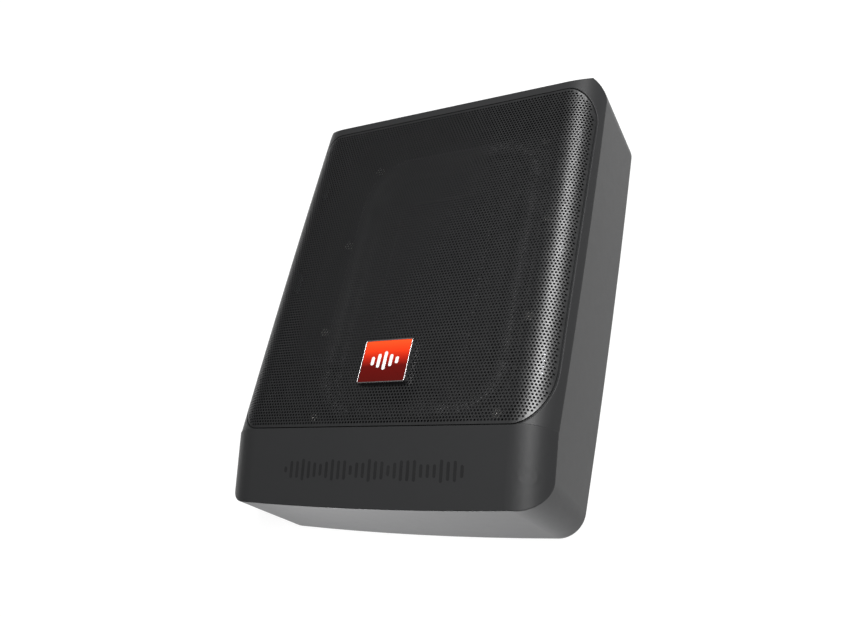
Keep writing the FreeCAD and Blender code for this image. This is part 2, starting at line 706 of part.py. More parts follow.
def switch_box(z, grow, y0, y1):
    half = 2.0 + SWITCH_TRAVEL / 2 + 0.3
    return box(SWITCH_X - half - grow, SWITCH_X + half + grow, y0, y1, z - 1.4 - grow, z + 1.4 + grow)


def rear_panel():
    z0, z1 = POCKET_Z
    half_w = POCKET_HALF_W - PANEL_GAP
    plate = box(-half_w, half_w, PANEL_Y - PANEL_T, PANEL_Y, z0 + PANEL_GAP, z1 - PANEL_GAP)
    back = PANEL_Y - PANEL_T - 1
    front = PANEL_Y + 1
    plate = plate.cut(power_shroud_box(1.6, back, front))
    plate = plate.cut(remote_box(1.3, back, front))
    plate = plate.cut(fuse_box(1.3, back, front))
    for z in SWITCH_Z:
        plate = plate.cut(switch_box(z, 0.0, back, front))
    for x in RCA_X:
        plate = plate.cut(rod(5.2, 5.0, V(x, back, PORT_Z), V(0, 1, 0)))
    for x in KNOB_X:
        plate = plate.cut(rod(3.3, 5.0, V(x, back, PORT_Z), V(0, 1, 0)))
    for x, z in panel_screw_places():
        plate = plate.cut(rod(PANEL_HOLE_R, 5.0, V(x, back, z), V(0, 1, 0)))
    light = rod(LIGHT_R + 0.05, 5.0, V(KNOB_X[1], back, PORT_Z + LIGHT_RISE), V(0, 1, 0))
    return plate.cut(light)


def panel_screws():
    screws = []
    for x, z in panel_screw_places():
        head = rod(PANEL_HEAD_R, 1.0, V(x, PANEL_Y, z), V(0, 1, 0))
        screws.append(head.fuse(rod(PANEL_SCREW_R, 5.6, V(x, PANEL_Y - 5.5, z), V(0, 1, 0))))
    return Part.makeCompound(screws)


def power_socket():
    body = power_shroud_box(1.5, 98.0, PANEL_Y + 4.0)
    return body.cut(power_shroud_box(0.0, PORT_FLOOR_Y, FAR))


def power_pins():
    pins = []
    for row in (-3.2, 3.2):
        for column in range(4):
            x = POWER_X - 10.5 + 6.0 * column
            z = PORT_Z + row
            pins.append(box(x - 1, x + 1, PORT_FLOOR_Y, PIN_TIP_Y, z - 0.4, z + 0.4))
    return Part.makeCompound(pins)


def remote_socket():
    body = remote_box(1.2, 99.0, PANEL_Y + 0.8)
    return body.cut(remote_box(0.0, PORT_FLOOR_Y, FAR))


def remote_contacts():
    wires = []
    for index in range(4):
        x = REMOTE_X - 2.4 + 1.6 * index
        wires.append(box(x - 0.25, x + 0.25, PORT_FLOOR_Y, PIN_TIP_Y, PORT_Z + 3.4, PORT_Z + 4.2))
    return Part.makeCompound(wires)


def rca_barrels():
    shells = []
    for x in RCA_X:
        ring = rod(5.1, 3.5, V(x, PANEL_Y - 2.5, PORT_Z), V(0, 1, 0))
        barrel = rod(RCA_R, 12.0, V(x, PANEL_Y - 2.5, PORT_Z), V(0, 1, 0))
        shells.append(ring.fuse(barrel).cut(rod(3.5, 20.0, V(x, PANEL_Y - 5, PORT_Z), V(0, 1, 0))))
    return Part.makeCompound(shells)


def rca_insulators():
    cores = []
    for x in RCA_X:
        block = box(x - 6, x + 6, 99.0, PANEL_Y - 2.5, PORT_Z - 6, PORT_Z + 6)
        core = rod(3.5, 11.0, V(x, PANEL_Y - 2.5, PORT_Z), V(0, 1, 0))
        cores.append(block.fuse(core).cut(rod(1.6, 30.0, V(x, PANEL_Y - 8, PORT_Z), V(0, 1, 0))))
    return Part.makeCompound(cores)


def fuse_holder():
    body = fuse_box(1.2, 96.0, PANEL_Y + 2.0)
    return body.cut(fuse_box(0.0, 98.0, FAR))


def fuse_body():
    return box(FUSE_X - 5.5, FUSE_X + 5.5, PANEL_Y - 3, PANEL_Y + 6.5, PORT_Z - 1.9, PORT_Z + 1.9)


def fuse_blades():
    blades = [box(x - 1.4, x + 1.4, PANEL_Y - 12, PANEL_Y - 3, PORT_Z - 0.35, PORT_Z + 0.35)
              for x in (FUSE_X - 3.9, FUSE_X + 3.9)]
    return Part.makeCompound(blades)


def control_pots():
    bodies = []
    for x in KNOB_X:
        case = box(x - 5, x + 5, 99.0, PANEL_Y - 4.5, PORT_Z - 5.5, PORT_Z + 5.5)
        bushing = rod(3.2, 5.0, V(x, PANEL_Y - 4.5, PORT_Z), V(0, 1, 0))
        bore = rod(SHAFT_R + 0.05, 20.0, V(x, PANEL_Y - 8, PORT_Z), V(0, 1, 0))
        bodies.append(case.fuse(bushing).cut(bore))
    return Part.makeCompound(bodies)


def control_shaft(x):
    return rod(SHAFT_R, 12.0, V(x, PANEL_Y - 7.6, PORT_Z), V(0, 1, 0))


def control_knob(x):
    """Ribbed knob with a pointer groove, hollow where it takes its shaft."""
    base = PANEL_Y + 0.9
    knob = rod(KNOB_R, KNOB_L, V(x, base, PORT_Z), V(0, 1, 0))
    knob = knob.makeChamfer(0.5, [e for e in knob.Edges if e.BoundBox.YMin > base + KNOB_L - 0.01])
    for index in range(18):
        turn = math.radians(20 * index + 10)
        mid = V(x + KNOB_R * math.cos(turn), base - 1, PORT_Z + KNOB_R * math.sin(turn))
        knob = knob.cut(rod(0.35, KNOB_L - 0.5, mid, V(0, 1, 0)))
    knob = knob.cut(box(x - 0.35, x + 0.35, base + KNOB_L - 0.6, FAR, PORT_Z + 0.6, PORT_Z + KNOB_R + 1))
    knob = knob.cut(rod(SHAFT_R, PANEL_Y + 4.4 - base + 1, V(x, base - 1, PORT_Z), V(0, 1, 0)))
    return knob


def switch_body(z):
    body = switch_box(z, 1.3, 100.0, PANEL_Y - PANEL_T)
    return body.cut(switch_box(z, 0.0, 104.0, FAR))


def switch_tab(z):
    x = SWITCH_X - SWITCH_TRAVEL / 2
    slider = box(x - 2.0, x + 2.0, 105.0, PANEL_Y - 2.5, z - 1.1, z + 1.1)
    tab = box(x - 1.0, x + 1.0, PANEL_Y - 2.5, PANEL_Y + 2.2, z - 1.0, z + 1.0)
    return slider.fuse(tab)


def status_light():
    return rod(LIGHT_R, 6.0, V(KNOB_X[1], PANEL_Y - 5.5, PORT_Z + LIGHT_RISE), V(0, 1, 0))


NODES = {
    "housing_shell": housing_shell(),
    "base_plate": base_plate(),
    "base_gasket": base_gasket(),
    "rubber_feet": rubber_feet(),
    "base_screws": base_screws(),
    "mounting_inserts": mounting_inserts(),
    "grille": grille(),
    "grille_clips": grille_clips(),
    "badge_frame": badge_frame(),
    "badge_plate": badge_plate(),
    "woofer_gasket": woofer_gasket(),
    "woofer_basket": woofer_basket(),
    "woofer_screws": woofer_screws(),
    "surround": surround(),
    "diaphragm": diaphragm(),
    "diaphragm_plate": diaphragm_plate(),
    "coil_former": coil_former(),
    "voice_coil": voice_coil(),
    "spider": spider(),
    "motor_back_plate": motor_back_plate(),
    "motor_magnet": motor_magnet(),
    "motor_top_plate": motor_top_plate(),
    "woofer_terminal": woofer_terminal(),
    "amplifier_board": amplifier_board(),
    "board_standoffs": board_standoffs(),
    "board_screws": board_screws(),
    "filter_capacitors": filter_capacitors(),
    "toroid_inductors": toroid_inductors(),
    "amplifier_chips": amplifier_chips(),
    "heat_sink_bar": heat_sink_bar(),
    "power_transistors": power_transistors(),
    "rear_panel": rear_panel(),
    "panel_screws": panel_screws(),
    "power_socket": power_socket(),
    "power_pins": power_pins(),
    "remote_socket": remote_socket(),
    "remote_contacts": remote_contacts(),
    "rca_barrels": rca_barrels(),
    "rca_insulators": rca_insulators(),
    "fuse_holder": fuse_holder(),
    "fuse_body": fuse_body(),
    "fuse_blades": fuse_blades(),
    "control_pots": control_pots(),
    "status_light": status_light(),
}
for name, knob_x in zip(("level", "crossover", "boost"), KNOB_X):
    NODES[name + "_shaft"] = control_shaft(knob_x)
    NODES[name + "_knob"] = control_knob(knob_x)
for name, switch_z in zip(("phase", "power_mode"), SWITCH_Z):
    NODES[name + "_switch_body"] = switch_body(switch_z)
    NODES[name + "_switch_tab"] = switch_tab(switch_z)

os.makedirs("parts", exist_ok=True)
for name, shape in NODES.items():
    assert shape.isValid(), name
    shape.exportStep("parts/" + name + ".step")
    size = shape.BoundBox
    print("%-24s %2d solids  %9.1f mm3  x %.1f..%.1f  y %.1f..%.1f  z %.1f..%.1f" % (
        name, len(shape.Solids), shape.Volume,
        size.XMin, size.XMax, size.YMin, size.YMax, size.ZMin, size.ZMax))
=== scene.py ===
import bmesh
import bpy
import math
from mathutils import Matrix, Vector


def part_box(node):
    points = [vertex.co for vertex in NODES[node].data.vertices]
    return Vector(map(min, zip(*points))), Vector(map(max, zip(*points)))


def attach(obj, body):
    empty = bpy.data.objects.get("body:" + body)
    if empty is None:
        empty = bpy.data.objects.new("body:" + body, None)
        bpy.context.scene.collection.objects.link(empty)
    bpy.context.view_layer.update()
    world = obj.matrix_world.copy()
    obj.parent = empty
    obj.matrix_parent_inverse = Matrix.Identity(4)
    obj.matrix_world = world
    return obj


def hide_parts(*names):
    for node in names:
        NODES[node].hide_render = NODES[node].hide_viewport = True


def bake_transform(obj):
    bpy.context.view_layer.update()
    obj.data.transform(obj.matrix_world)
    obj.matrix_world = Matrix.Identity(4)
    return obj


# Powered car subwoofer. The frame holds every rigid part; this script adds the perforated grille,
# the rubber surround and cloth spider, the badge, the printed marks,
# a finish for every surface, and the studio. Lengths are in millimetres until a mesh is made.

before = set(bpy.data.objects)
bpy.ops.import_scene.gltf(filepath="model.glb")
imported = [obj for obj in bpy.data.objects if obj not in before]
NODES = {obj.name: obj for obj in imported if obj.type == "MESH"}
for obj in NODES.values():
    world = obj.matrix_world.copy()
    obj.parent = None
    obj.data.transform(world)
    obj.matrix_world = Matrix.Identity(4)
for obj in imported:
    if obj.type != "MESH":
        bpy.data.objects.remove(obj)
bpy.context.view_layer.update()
MM = 0.001
QUARTERS = ((1, 1), (-1, 1), (-1, -1), (1, -1))    # signs of x and y, anticlockwise from above

# ---------------------------------------------------------------- sizes shared with the part
WIDTH = 195.0
LENGTH = 252.0
ROLL_R = 23.8
CREASE_Z = 51.4
SIDE_BOW = 1.3
BAND_Y = -86.0
BAND_SLOPE = 0.26
BAND_STEP = 0.2
GRILLE_HALF_W = 93.8
GRILLE_CORNER_REAR = (17.0, 24.0)
GRILLE_CORNER_FRONT = (17.0, 30.0)
ROLL_OUT_HALF = (61.5, 88.2, 31.0)
ROLL_WIDTH = 11.5
RUBBER_T = 0.7
SPIDER_IN_R = 14.0
SPIDER_OUT_R = 36.0
KNOB_X = (28.5, 41.0, 53.5)
PORT_Z = 20.5

TOP_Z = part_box("grille")[1].z / MM
GRILLE_FRONT_Y = BAND_Y
GRILLE_REAR_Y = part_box("grille")[1].y / MM
ROLL_Z = TOP_Z - ROLL_R
ROLL_X = WIDTH / 2 - math.sqrt(ROLL_R ** 2 - (CREASE_Z - ROLL_Z) ** 2)
SIDE_R = ((LENGTH / 2) ** 2 + SIDE_BOW ** 2) / (2 * SIDE_BOW)
FLANGE_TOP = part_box("woofer_basket")[1].z / MM
WOOFER_Y = (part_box("woofer_basket")[0].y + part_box("woofer_basket")[1].y) / 2 / MM
PANEL_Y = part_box("rear_panel")[1].y / MM
SPIDER_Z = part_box("spider")[0].z / MM

# ---------------------------------------------------------------- sizes of the added pieces
HOLE_PITCH = 1.84         # along X; every other row is moved by half of it
ROW_PITCH = 1.65
HOLE_R = 0.67
# Corners of the cell round a hole, in half pitches and half rows; the hole has as many sides.
CELL_EDGE = ((1, 0), (1, 1), (0, 1), (-1, 1), (-1, 0), (-1, -1), (0, -1), (1, -1))
GRILLE_MARGIN = 1.0       # solid sheet kept round the outline
CELL_OVERLAP = 0.05       # a cell counts once a corner of it is this far inside the outline
SHEET_T = 0.6
SHEET_SPARE = 2.0         # sheet laid out past the outline on each side before it is cut
ROLL_END = math.pi / 2 - 0.3    # radians the sheet may turn down over its side
GRILLE_PIECES = 4
SAME_PLACE = 1e-6
MERGE_WITHIN = 0.02
SHORTEST_EDGE = 0.01

PLEAT_TURN = 6.0          # degrees from one pleat of the surround to the next
PLEAT_DEPTH = 0.5
OUTER_LANDING = 1.7       # flat lip of the surround outside its roll
INNER_LANDING = 4.0
ROLL_STEPS = 16
SECTOR_TURN = 30.0        # degrees covered by one piece of the surround's corner or of the spider
SECTORS_PER_CORNER = int(90 / SECTOR_TURN)
CORNER_STEPS = 30
STRAIGHT_STEPS = 8

SPIDER_WAVES = 4
SPIDER_WAVE_STEPS = 8     # steps across one wave
SPIDER_TURN_STEPS = 8
SPIDER_WAVE_HALF = 0.45   # half the height of a wave
SPIDER_T = 0.45
SPIDER_LIFT = 0.5         # top of its flat rim above the underside of the spider in the part
SPIDER_LANDING = 5.0      # flat rim that is glued to the basket

BADGE_RIM = 0.6
BADGE_RIM_DEEP = 0.60     # the chrome frame goes down this far from the top of the badge
BADGE_CORNER_R = 1.0
BADGE_FACE_CORNER_R = 0.2
BADGE_FACE_DEEP = 0.35
BADGE_EDGE_SOFT = 0.05
BADGE_SOFT_ANGLE = 50.0   # degrees; gentler bends in the frame's profile stay as drawn
BADGE_FACE_SOFT = 0.25
BADGE_BARS = (5.0, 8.0, 10.6, 7.0, 4.0)
BADGE_BAR_W = 1.9
BADGE_BAR_STEP = 3.75
BADGE_BAR_DEEP = (0.5, 0.1)    # underside and top of a bar, below the top of the badge
BADGE_BAR_SOFT = 0.08

BAND_MARK_STEP = 3.8
BAND_MARK_COUNT = 29
BAND_MARK_W = 1.7
BAND_MARK_Y = -107.6
BAND_MARK_SHORTEST = 3.0
BAND_MARK_GROWTH = 8.0
BAND_MARK_WAVES = ((0.55, 0.65), (1.7, 0.35))    # radians from bar to bar, and share of the growth
BAND_MARK_SUNK = 0.3
BAND_MARK_PROUD = 0.08

TICK_RING_R = 5.35
TICK_COUNT = 11
TICK_START = 230          # degrees of the first tick round its knob
TICK_TURN = 28            # degrees from tick to tick
TICK_LONG_EVERY = 5
TICK_HALF = 0.45
TICK_LONG_HALF = 0.7
PRINT_HALF_W = 0.14
PRINT_SUNK = -0.05
PRINT_PROUD = 0.06
SOCKET_LINE_CORNER_R = 1.6
SOCKET_LINES = (          # x, half width and half height of the line printed round a socket
    (10.0, 12.8, 8.6),    # phono jacks
    (-56.0, 17.2, 10.6),  # power and speaker socket
    (-29.0, 8.0, 5.4),    # fuse
)

# ---------------------------------------------------------------- camera and studio
CAMERA_PLACE = (284.3, -247.9, 433.5)
CAMERA_AIM = (2.2, -6.5, 40.0)
CAMERA_ROLL = 45.5        # degrees
CAMERA_LENS = 41.0
CAMERA_SENSOR = 36.0
CAMERA_REACH = (0.01, 50.0)    # metres

FLOOR_HALF = 6000.0
FLOOR_Z = -0.2
FLOOR_GLOW = 0.88


# ---------------------------------------------------------------- meshes
def raw_mesh(name, points, faces, material):
    """A mesh in metres from points in millimetres."""
    mesh = bpy.data.meshes.new(name)
    mesh.from_pydata([tuple(value * MM for value in point) for point in points], [], faces)
    mesh.materials.append(material)
    return mesh


def add_to_scene(name, data):
    thing = bpy.data.objects.new(name, data)
    bpy.context.scene.collection.objects.link(thing)
    return thing


def make_mesh(name, points, faces, material, smooth=False):
    """A piece with its faces turned outwards."""
    mesh = raw_mesh(name, points, faces, material)
    shape = bmesh.new()
    shape.from_mesh(mesh)
    bmesh.ops.recalc_face_normals(shape, faces=shape.faces)
    shape.to_mesh(mesh)
    shape.free()
    mesh.polygons.foreach_set("use_smooth", [smooth] * len(mesh.polygons))
    return add_to_scene(name, mesh)


def fix(piece, body, slot, *replaced):
    """Fastens the piece to a body, in place of the CAD nodes named last."""
    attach(piece, body)
    if replaced:
        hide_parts(*replaced)


def soften(piece, width, segments=3, angle=30.0):
    """Rounds by width the edges of the piece that turn more than angle degrees."""
    bevel = piece.modifiers.new("soft edges", "BEVEL")
    bevel.width = width * MM
    bevel.segments = segments
    bevel.limit_method = "ANGLE"
    bevel.angle_limit = math.radians(angle)
    bevel.use_clamp_overlap = False
    bevel.harden_normals = True
    piece.data.polygons.foreach_set("use_smooth", [True] * len(piece.data.polygons))


def rounded_path(half_x, half_y, radius, centre=(0.0, 0.0), steps=8):
    """Points round a rectangle with four round corners, each with its outward direction."""
    path = []
    for quarter, (sx, sy) in enumerate(QUARTERS):
        mid_x = centre[0] + sx * (half_x - radius)
        mid_y = centre[1] + sy * (half_y - radius)
        for step in range(steps + 1):
            turn = math.radians(90 * quarter + 90 * step / steps)
            out_x = math.cos(turn)
            out_y = math.sin(turn)
            path.append((mid_x + radius * out_x, mid_y + radius * out_y, out_x, out_y))
    return path


def swept_ring(path, profile):
    """A closed profile of (reach outwards, height) swept round a closed path."""
    points = [(x + ox * reach, y + oy * reach, z) for x, y, ox, oy in path for reach, z in profile]
    across = len(profile)
    faces = []
    for i in range(len(path)):
        following = (i + 1) % len(path)
        for j in range(across):
            k = (j + 1) % across
            faces.append((i * across + j, following * across + j, following * across + k, i * across + k))
    return points, faces


def level(height):
    """The same height at every y."""
    return lambda y: height


def prism(outline, low, high):
    """A plan outline of (x, y) between two heights, each given as a function of y."""
    count = len(outline)
    points = [(x, y, low(y)) for x, y in outline] + [(x, y, high(y)) for x, y in outline]
    faces = [tuple(range(count)), tuple(range(2 * count - 1, count - 1, -1))]
    for i in range(count):
        k = (i + 1) % count
        faces.append((i, k, count + k, count + i))
    return points, faces


def joined(parts):
    """The points and faces of several shapes as one."""
    points = []
    faces = []
    for part_points, part_faces in parts:
        start = len(points)
        points += part_points
        faces += [tuple(start + index for index in face) for face in part_faces]
    return points, faces


def bar_outline(x, y, width, length):
    """A bar with round ends, as plan points."""
    end_r = width / 2 - 0.01
    path = rounded_path(width / 2, length / 2, end_r, (x, y), steps=6)
    return [(px, py) for px, py, _, _ in path]


# ---------------------------------------------------------------- material helpers
def new_material(name):
    material = bpy.data.materials.new(name)
    material.use_nodes = True
    tree = material.node_tree
    tree.nodes.clear()
    shader = tree.nodes.new("ShaderNodeBsdfPrincipled")
    output = tree.nodes.new("ShaderNodeOutputMaterial")
    tree.links.new(shader.outputs["BSDF"], output.inputs["Surface"])
    return material, tree, shader


def place(tree, size, stretch=(1.0, 1.0, 1.0)):
    """Coordinates in which one unit is size millimetres, longer by stretch on each axis."""
    source = tree.nodes.new("ShaderNodeTexCoord")
    scaled = tree.nodes.new("ShaderNodeMapping")
    for axis in range(3):
        scaled.inputs["Scale"].default_value[axis] = 1 / (size * MM * stretch[axis])
    tree.links.new(source.outputs["Object"], scaled.inputs["Vector"])
    return scaled.outputs["Vector"]


def noise(tree, size, detail=2.0, stretch=(1.0, 1.0, 1.0)):
    """Clouds of about size millimetres."""
    node = tree.nodes.new("ShaderNodeTexNoise")
    node.inputs["Scale"].default_value = 1.0
    node.inputs["Detail"].default_value = detail
    tree.links.new(place(tree, size, stretch), node.inputs["Vector"])
    return node.outputs["Fac"]


WAVE_SCALE = 0.314159     # makes one band of the wave texture as wide as one unit


def bands(tree, pitch, axis, distort=0.0):
    """Even bands across an axis, one every pitch millimetres."""
    node = tree.nodes.new("ShaderNodeTexWave")
    node.bands_direction = axis
    node.inputs["Scale"].default_value = WAVE_SCALE
    node.inputs["Distortion"].default_value = distort
    tree.links.new(place(tree, pitch), node.inputs["Vector"])
    return node.outputs["Fac"]


def speckle(tree, size):
    """Distance from the middle of scattered cells of about size millimetres."""
    node = tree.nodes.new("ShaderNodeTexVoronoi")
    node.inputs["Scale"].default_value = 1.0
    tree.links.new(place(tree, size), node.inputs["Vector"])
    return node.outputs["Distance"]


def spread(tree, value, low, high, start=0.25, end=0.75):
    """Runs from low to high as value goes from start to end."""
    node = tree.nodes.new("ShaderNodeMapRange")
    node.inputs["From Min"].default_value = start
    node.inputs["From Max"].default_value = end
    node.inputs["To Min"].default_value = low
    node.inputs["To Max"].default_value = high
    tree.links.new(value, node.inputs["Value"])
    return node.outputs["Result"]


def combine(tree, first, second, operation="MULTIPLY"):
    node = tree.nodes.new("ShaderNodeMath")
    node.operation = operation
    tree.links.new(first, node.inputs[0])
    tree.links.new(second, node.inputs[1])
    return node.outputs["Value"]


def between(tree, value, stops):
    """A colour that runs through stops of (position, colour) as value goes from 0 to 1."""
    ramp = tree.nodes.new("ShaderNodeValToRGB")
    elements = ramp.color_ramp.elements
    for index, (position, colour) in enumerate(stops):
        element = elements[index] if index < 2 else elements.new(position)
        element.position = position
        element.color = (*colour, 1.0)
    tree.links.new(value, ramp.inputs["Fac"])
    return ramp.outputs["Color"]


def raise_by(tree, shader, height, depth, edge=0.0):
    """Bump of about depth millimetres, over edges that look rounded by edge."""
    node = tree.nodes.new("ShaderNodeBump")
    if edge:
        rounded = tree.nodes.new("ShaderNodeBevel")
        rounded.samples = 6
        rounded.inputs["Radius"].default_value = edge * MM
        tree.links.new(rounded.outputs["Normal"], node.inputs["Normal"])
    node.inputs["Distance"].default_value = depth * MM
    tree.links.new(height, node.inputs["Height"])
    tree.links.new(node.outputs["Normal"], shader.inputs["Normal"])


def shade(colour, factor):
    """The colour made lighter or darker."""
    return tuple(min(1.0, channel * factor) for channel in colour)


def moulded(name, colour, rough, grain, depth, tone, metal=0.0, coat=0.0, gloss=0.5, edge=0.0):
    """Painted, moulded or cast surface: cloudy tone, uneven gloss and a fine grain."""
    material, tree, shader = new_material(name)
    cloud = noise(tree, size=14.0, detail=3.0)
    fine = noise(tree, grain, detail=2.0)
    broad_share = spread(tree, cloud, low=0.0, high=0.6)
    fine_share = spread(tree, fine, low=0.0, high=0.4)
    both = combine(tree, broad_share, fine_share, "ADD")
    stops = ((0.0, shade(colour, 1 - tone)), (1.0, shade(colour, 1 + tone)))
    tree.links.new(between(tree, both, stops), shader.inputs["Base Color"])
    smudge = noise(tree, size=5.0, detail=4.0)
    uneven = 0.35 * tone
    gloss_map = spread(tree, smudge, low=rough - uneven, high=rough + uneven)
    tree.links.new(gloss_map, shader.inputs["Roughness"])
    raise_by(tree, shader, fine, depth, edge)
    shader.inputs["Metallic"].default_value = metal
    shader.inputs["Coat Weight"].default_value = coat
    shader.inputs["Specular IOR Level"].default_value = gloss
    return material


def brushed(name, colour, rough, along, line):
    """Machined or drawn metal with fine lines along one axis."""
    material, tree, shader = new_material(name)
    lines = noise(tree, line, detail=3.0, stretch=along)
    cloud = noise(tree, size=9.0, detail=3.0)
    stops = ((0.0, shade(colour, 0.72)), (1.0, shade(colour, 1.12)))
    both = combine(tree, lines, spread(tree, cloud, low=0.75, high=1.15))
    tree.links.new(between(tree, both, stops), shader.inputs["Base Color"])
    tree.links.new(spread(tree, lines, low=rough - 0.07, high=rough + 0.09), shader.inputs["Roughness"])
    raise_by(tree, shader, lines, depth=0.006)
    shader.inputs["Metallic"].default_value = 1.0
    return material


def wound(name, colour, pitch, axis, rough=0.3):
    """Turns of fine wire laid side by side, with painted shade in the grooves between them and a faint
    painted highlight on their crowns.
    """
    material, tree, shader = new_material(name)
    turns = bands(tree, pitch, axis, distort=0.3)
    cloud = noise(tree, size=3.0, detail=2.0)
    painted_turn_shading = combine(tree, turns, spread(tree, cloud, low=0.8, high=1.0))
    # painted shade down to a quarter of the colour in the grooves between turns, and a painted highlight
    # a little lighter on their crowns
    stops = ((0.0, shade(colour, 0.25)), (0.55, colour), (1.0, shade(colour, 1.15)))
    tree.links.new(between(tree, painted_turn_shading, stops), shader.inputs["Base Color"])
    tree.links.new(spread(tree, cloud, low=rough, high=rough + 0.15), shader.inputs["Roughness"])
    raise_by(tree, shader, turns, depth=pitch / 3)
    shader.inputs["Metallic"].default_value = 1.0
    return material


def woven(name, dark, light, pitch):
    """Plain weave of two crossing threads."""
    material, tree, shader = new_material(name)
    warp = bands(tree, pitch, axis="X")
    weft = bands(tree, pitch, axis="Y")
    weave = combine(tree, warp, weft)
    fuzz = noise(tree, size=pitch / 3, detail=3.0)
    both = combine(tree, weave, spread(tree, fuzz, low=0.6, high=1.0))
    tree.links.new(between(tree, both, ((0.0, dark), (1.0, light))), shader.inputs["Base Color"])
    tree.links.new(spread(tree, fuzz, low=0.75, high=0.95), shader.inputs["Roughness"])
    raise_by(tree, shader, both, depth=0.12)
    shader.inputs["Sheen Weight"].default_value = 0.25
    return material


# ---------------------------------------------------------------- materials
def housing_paint():
    return moulded("housing_paint", (0.021, 0.0213, 0.022), rough=0.44, grain=0.35,
                   depth=0.005, tone=0.03, gloss=0.25, edge=0.9)


def base_metal():
    return moulded("base_metal", (0.030, 0.031, 0.032), rough=0.55, grain=0.9,
                   depth=0.03, tone=0.2, edge=0.4)


def grille_paint():
    return moulded("grille_paint", (0.008, 0.0082, 0.0087), rough=0.36, grain=0.2,
                   depth=0.004, tone=0.12, gloss=0.8)


def foam():
    material, tree, shader = new_material("foam")
    cells = speckle(tree, size=0.7)
    cloud = noise(tree, size=8.0, detail=3.0)
    both = combine(tree, cells, spread(tree, cloud, low=0.7, high=1.1))
    stops = ((0.0, (0.006, 0.006, 0.006)), (0.8, (0.04, 0.04, 0.04)))
    tree.links.new(between(tree, both, stops), shader.inputs["Base Color"])
    tree.links.new(spread(tree, cloud, low=0.85, high=0.97), shader.inputs["Roughness"])
    raise_by(tree, shader, cells, depth=0.25)
    return material


def foot_rubber():
    return moulded("foot_rubber", (0.013, 0.013, 0.013), rough=0.78, grain=0.4, depth=0.03, tone=0.25)


def black_screws():
    return brushed("black_screws", (0.05, 0.05, 0.055), rough=0.42, along=(8.0, 8.0, 1.0), line=0.15)


def steel_screws():
    return brushed("steel_screws", (0.55, 0.54, 0.52), rough=0.30, along=(6.0, 6.0, 1.0), line=0.12)


def insert_brass():
    return brushed("insert_brass", (0.62, 0.44, 0.16), rough=0.28, along=(1.0, 1.0, 12.0), line=0.15)


def spring_steel():
    return brushed("spring_steel", (0.42, 0.43, 0.45), rough=0.33, along=(1.0, 20.0, 1.0), line=0.1)


def badge_chrome():
    return brushed("badge_chrome", (0.62, 0.60, 0.60), rough=0.20, along=(18.0, 18.0, 1.0), line=0.2)


def badge_red(low_y, high_y):
    """Glossy lacquer that runs from maroon at the front to orange red at the rear."""
    material, tree, shader = new_material("badge_red")
    source = tree.nodes.new("ShaderNodeTexCoord")
    split = tree.nodes.new("ShaderNodeSeparateXYZ")
    tree.links.new(source.outputs["Object"], split.inputs["Vector"])
    height = spread(tree, split.outputs["Y"], low=0.0, high=1.0, start=low_y * MM, end=high_y * MM)
    flake = noise(tree, size=0.25, detail=2.0)
    both = combine(tree, height, spread(tree, flake, low=-0.03, high=0.03), "ADD")
    stops = (
        (0.0, (0.075, 0.002, 0.001)),
        (0.38, (0.10, 0.002, 0.001)),
        (0.58, (0.42, 0.013, 0.003)),
        (0.80, (0.80, 0.045, 0.008)),
        (1.0, (0.86, 0.075, 0.014)),
    )
    tree.links.new(between(tree, both, stops), shader.inputs["Base Color"])
    tree.links.new(spread(tree, flake, low=0.26, high=0.36), shader.inputs["Roughness"])
    raise_by(tree, shader, flake, depth=0.002)
    shader.inputs["Coat Weight"].default_value = 0.15
    shader.inputs["Coat Roughness"].default_value = 0.08
    shader.inputs["Specular IOR Level"].default_value = 0.15
    return material


def badge_white():
    return moulded("badge_white", (0.80, 0.80, 0.79), rough=0.30, grain=0.4,
                   depth=0.004, tone=0.04, coat=0.4)


def band_black():
    return moulded("band_black", (0.013, 0.013, 0.0135), rough=0.55, grain=0.3,
                   depth=0.004, tone=0.2, gloss=0.17)


def basket_steel():
    return moulded("basket_steel", (0.022, 0.022, 0.024), rough=0.45, grain=0.6, depth=0.02, tone=0.2)


def surround_rubber():
    return moulded("surround_rubber", (0.055, 0.055, 0.057), rough=0.46, grain=0.25,
                   depth=0.006, tone=0.10, gloss=0.4)


def cone_poly():
    """Pressed fibre with a faint random weave."""
    material, tree, shader = new_material("cone_poly")
    fibre = noise(tree, size=0.7, detail=4.0, stretch=(1.0, 4.0, 1.0))
    cross = noise(tree, size=0.7, detail=4.0, stretch=(4.0, 1.0, 1.0))
    both = combine(tree, fibre, cross)
    stops = ((0.05, (0.012, 0.012, 0.013)), (0.45, (0.035, 0.035, 0.037)))
    tree.links.new(between(tree, both, stops), shader.inputs["Base Color"])
    tree.links.new(spread(tree, fibre, low=0.45, high=0.65), shader.inputs["Roughness"])
    raise_by(tree, shader, both, depth=0.08)
    return material


def cone_cap():
    return moulded("cone_cap", (0.026, 0.026, 0.028), rough=0.36, grain=0.4,
                   depth=0.01, tone=0.15, edge=0.4)


def former_kapton():
    return moulded("former_kapton", (0.34, 0.15, 0.035), rough=0.25, grain=0.8,
                   depth=0.004, tone=0.2, coat=0.5)


def coil_copper():
    return wound("coil_copper", (0.70, 0.28, 0.12), pitch=0.35, axis="Z")


def spider_cloth():
    return woven("spider_cloth", dark=(0.10, 0.055, 0.015), light=(0.42, 0.27, 0.09), pitch=0.7)


def motor_steel():
    return moulded("motor_steel", (0.40, 0.39, 0.34), rough=0.34, grain=0.5,
                   depth=0.01, tone=0.2, metal=1.0)


def ferrite():
    return moulded("ferrite", (0.045, 0.045, 0.048), rough=0.62, grain=0.5, depth=0.05, tone=0.3)


def terminal_board():
    return moulded("terminal_board", (0.10, 0.055, 0.025), rough=0.55, grain=0.5, depth=0.01, tone=0.2)


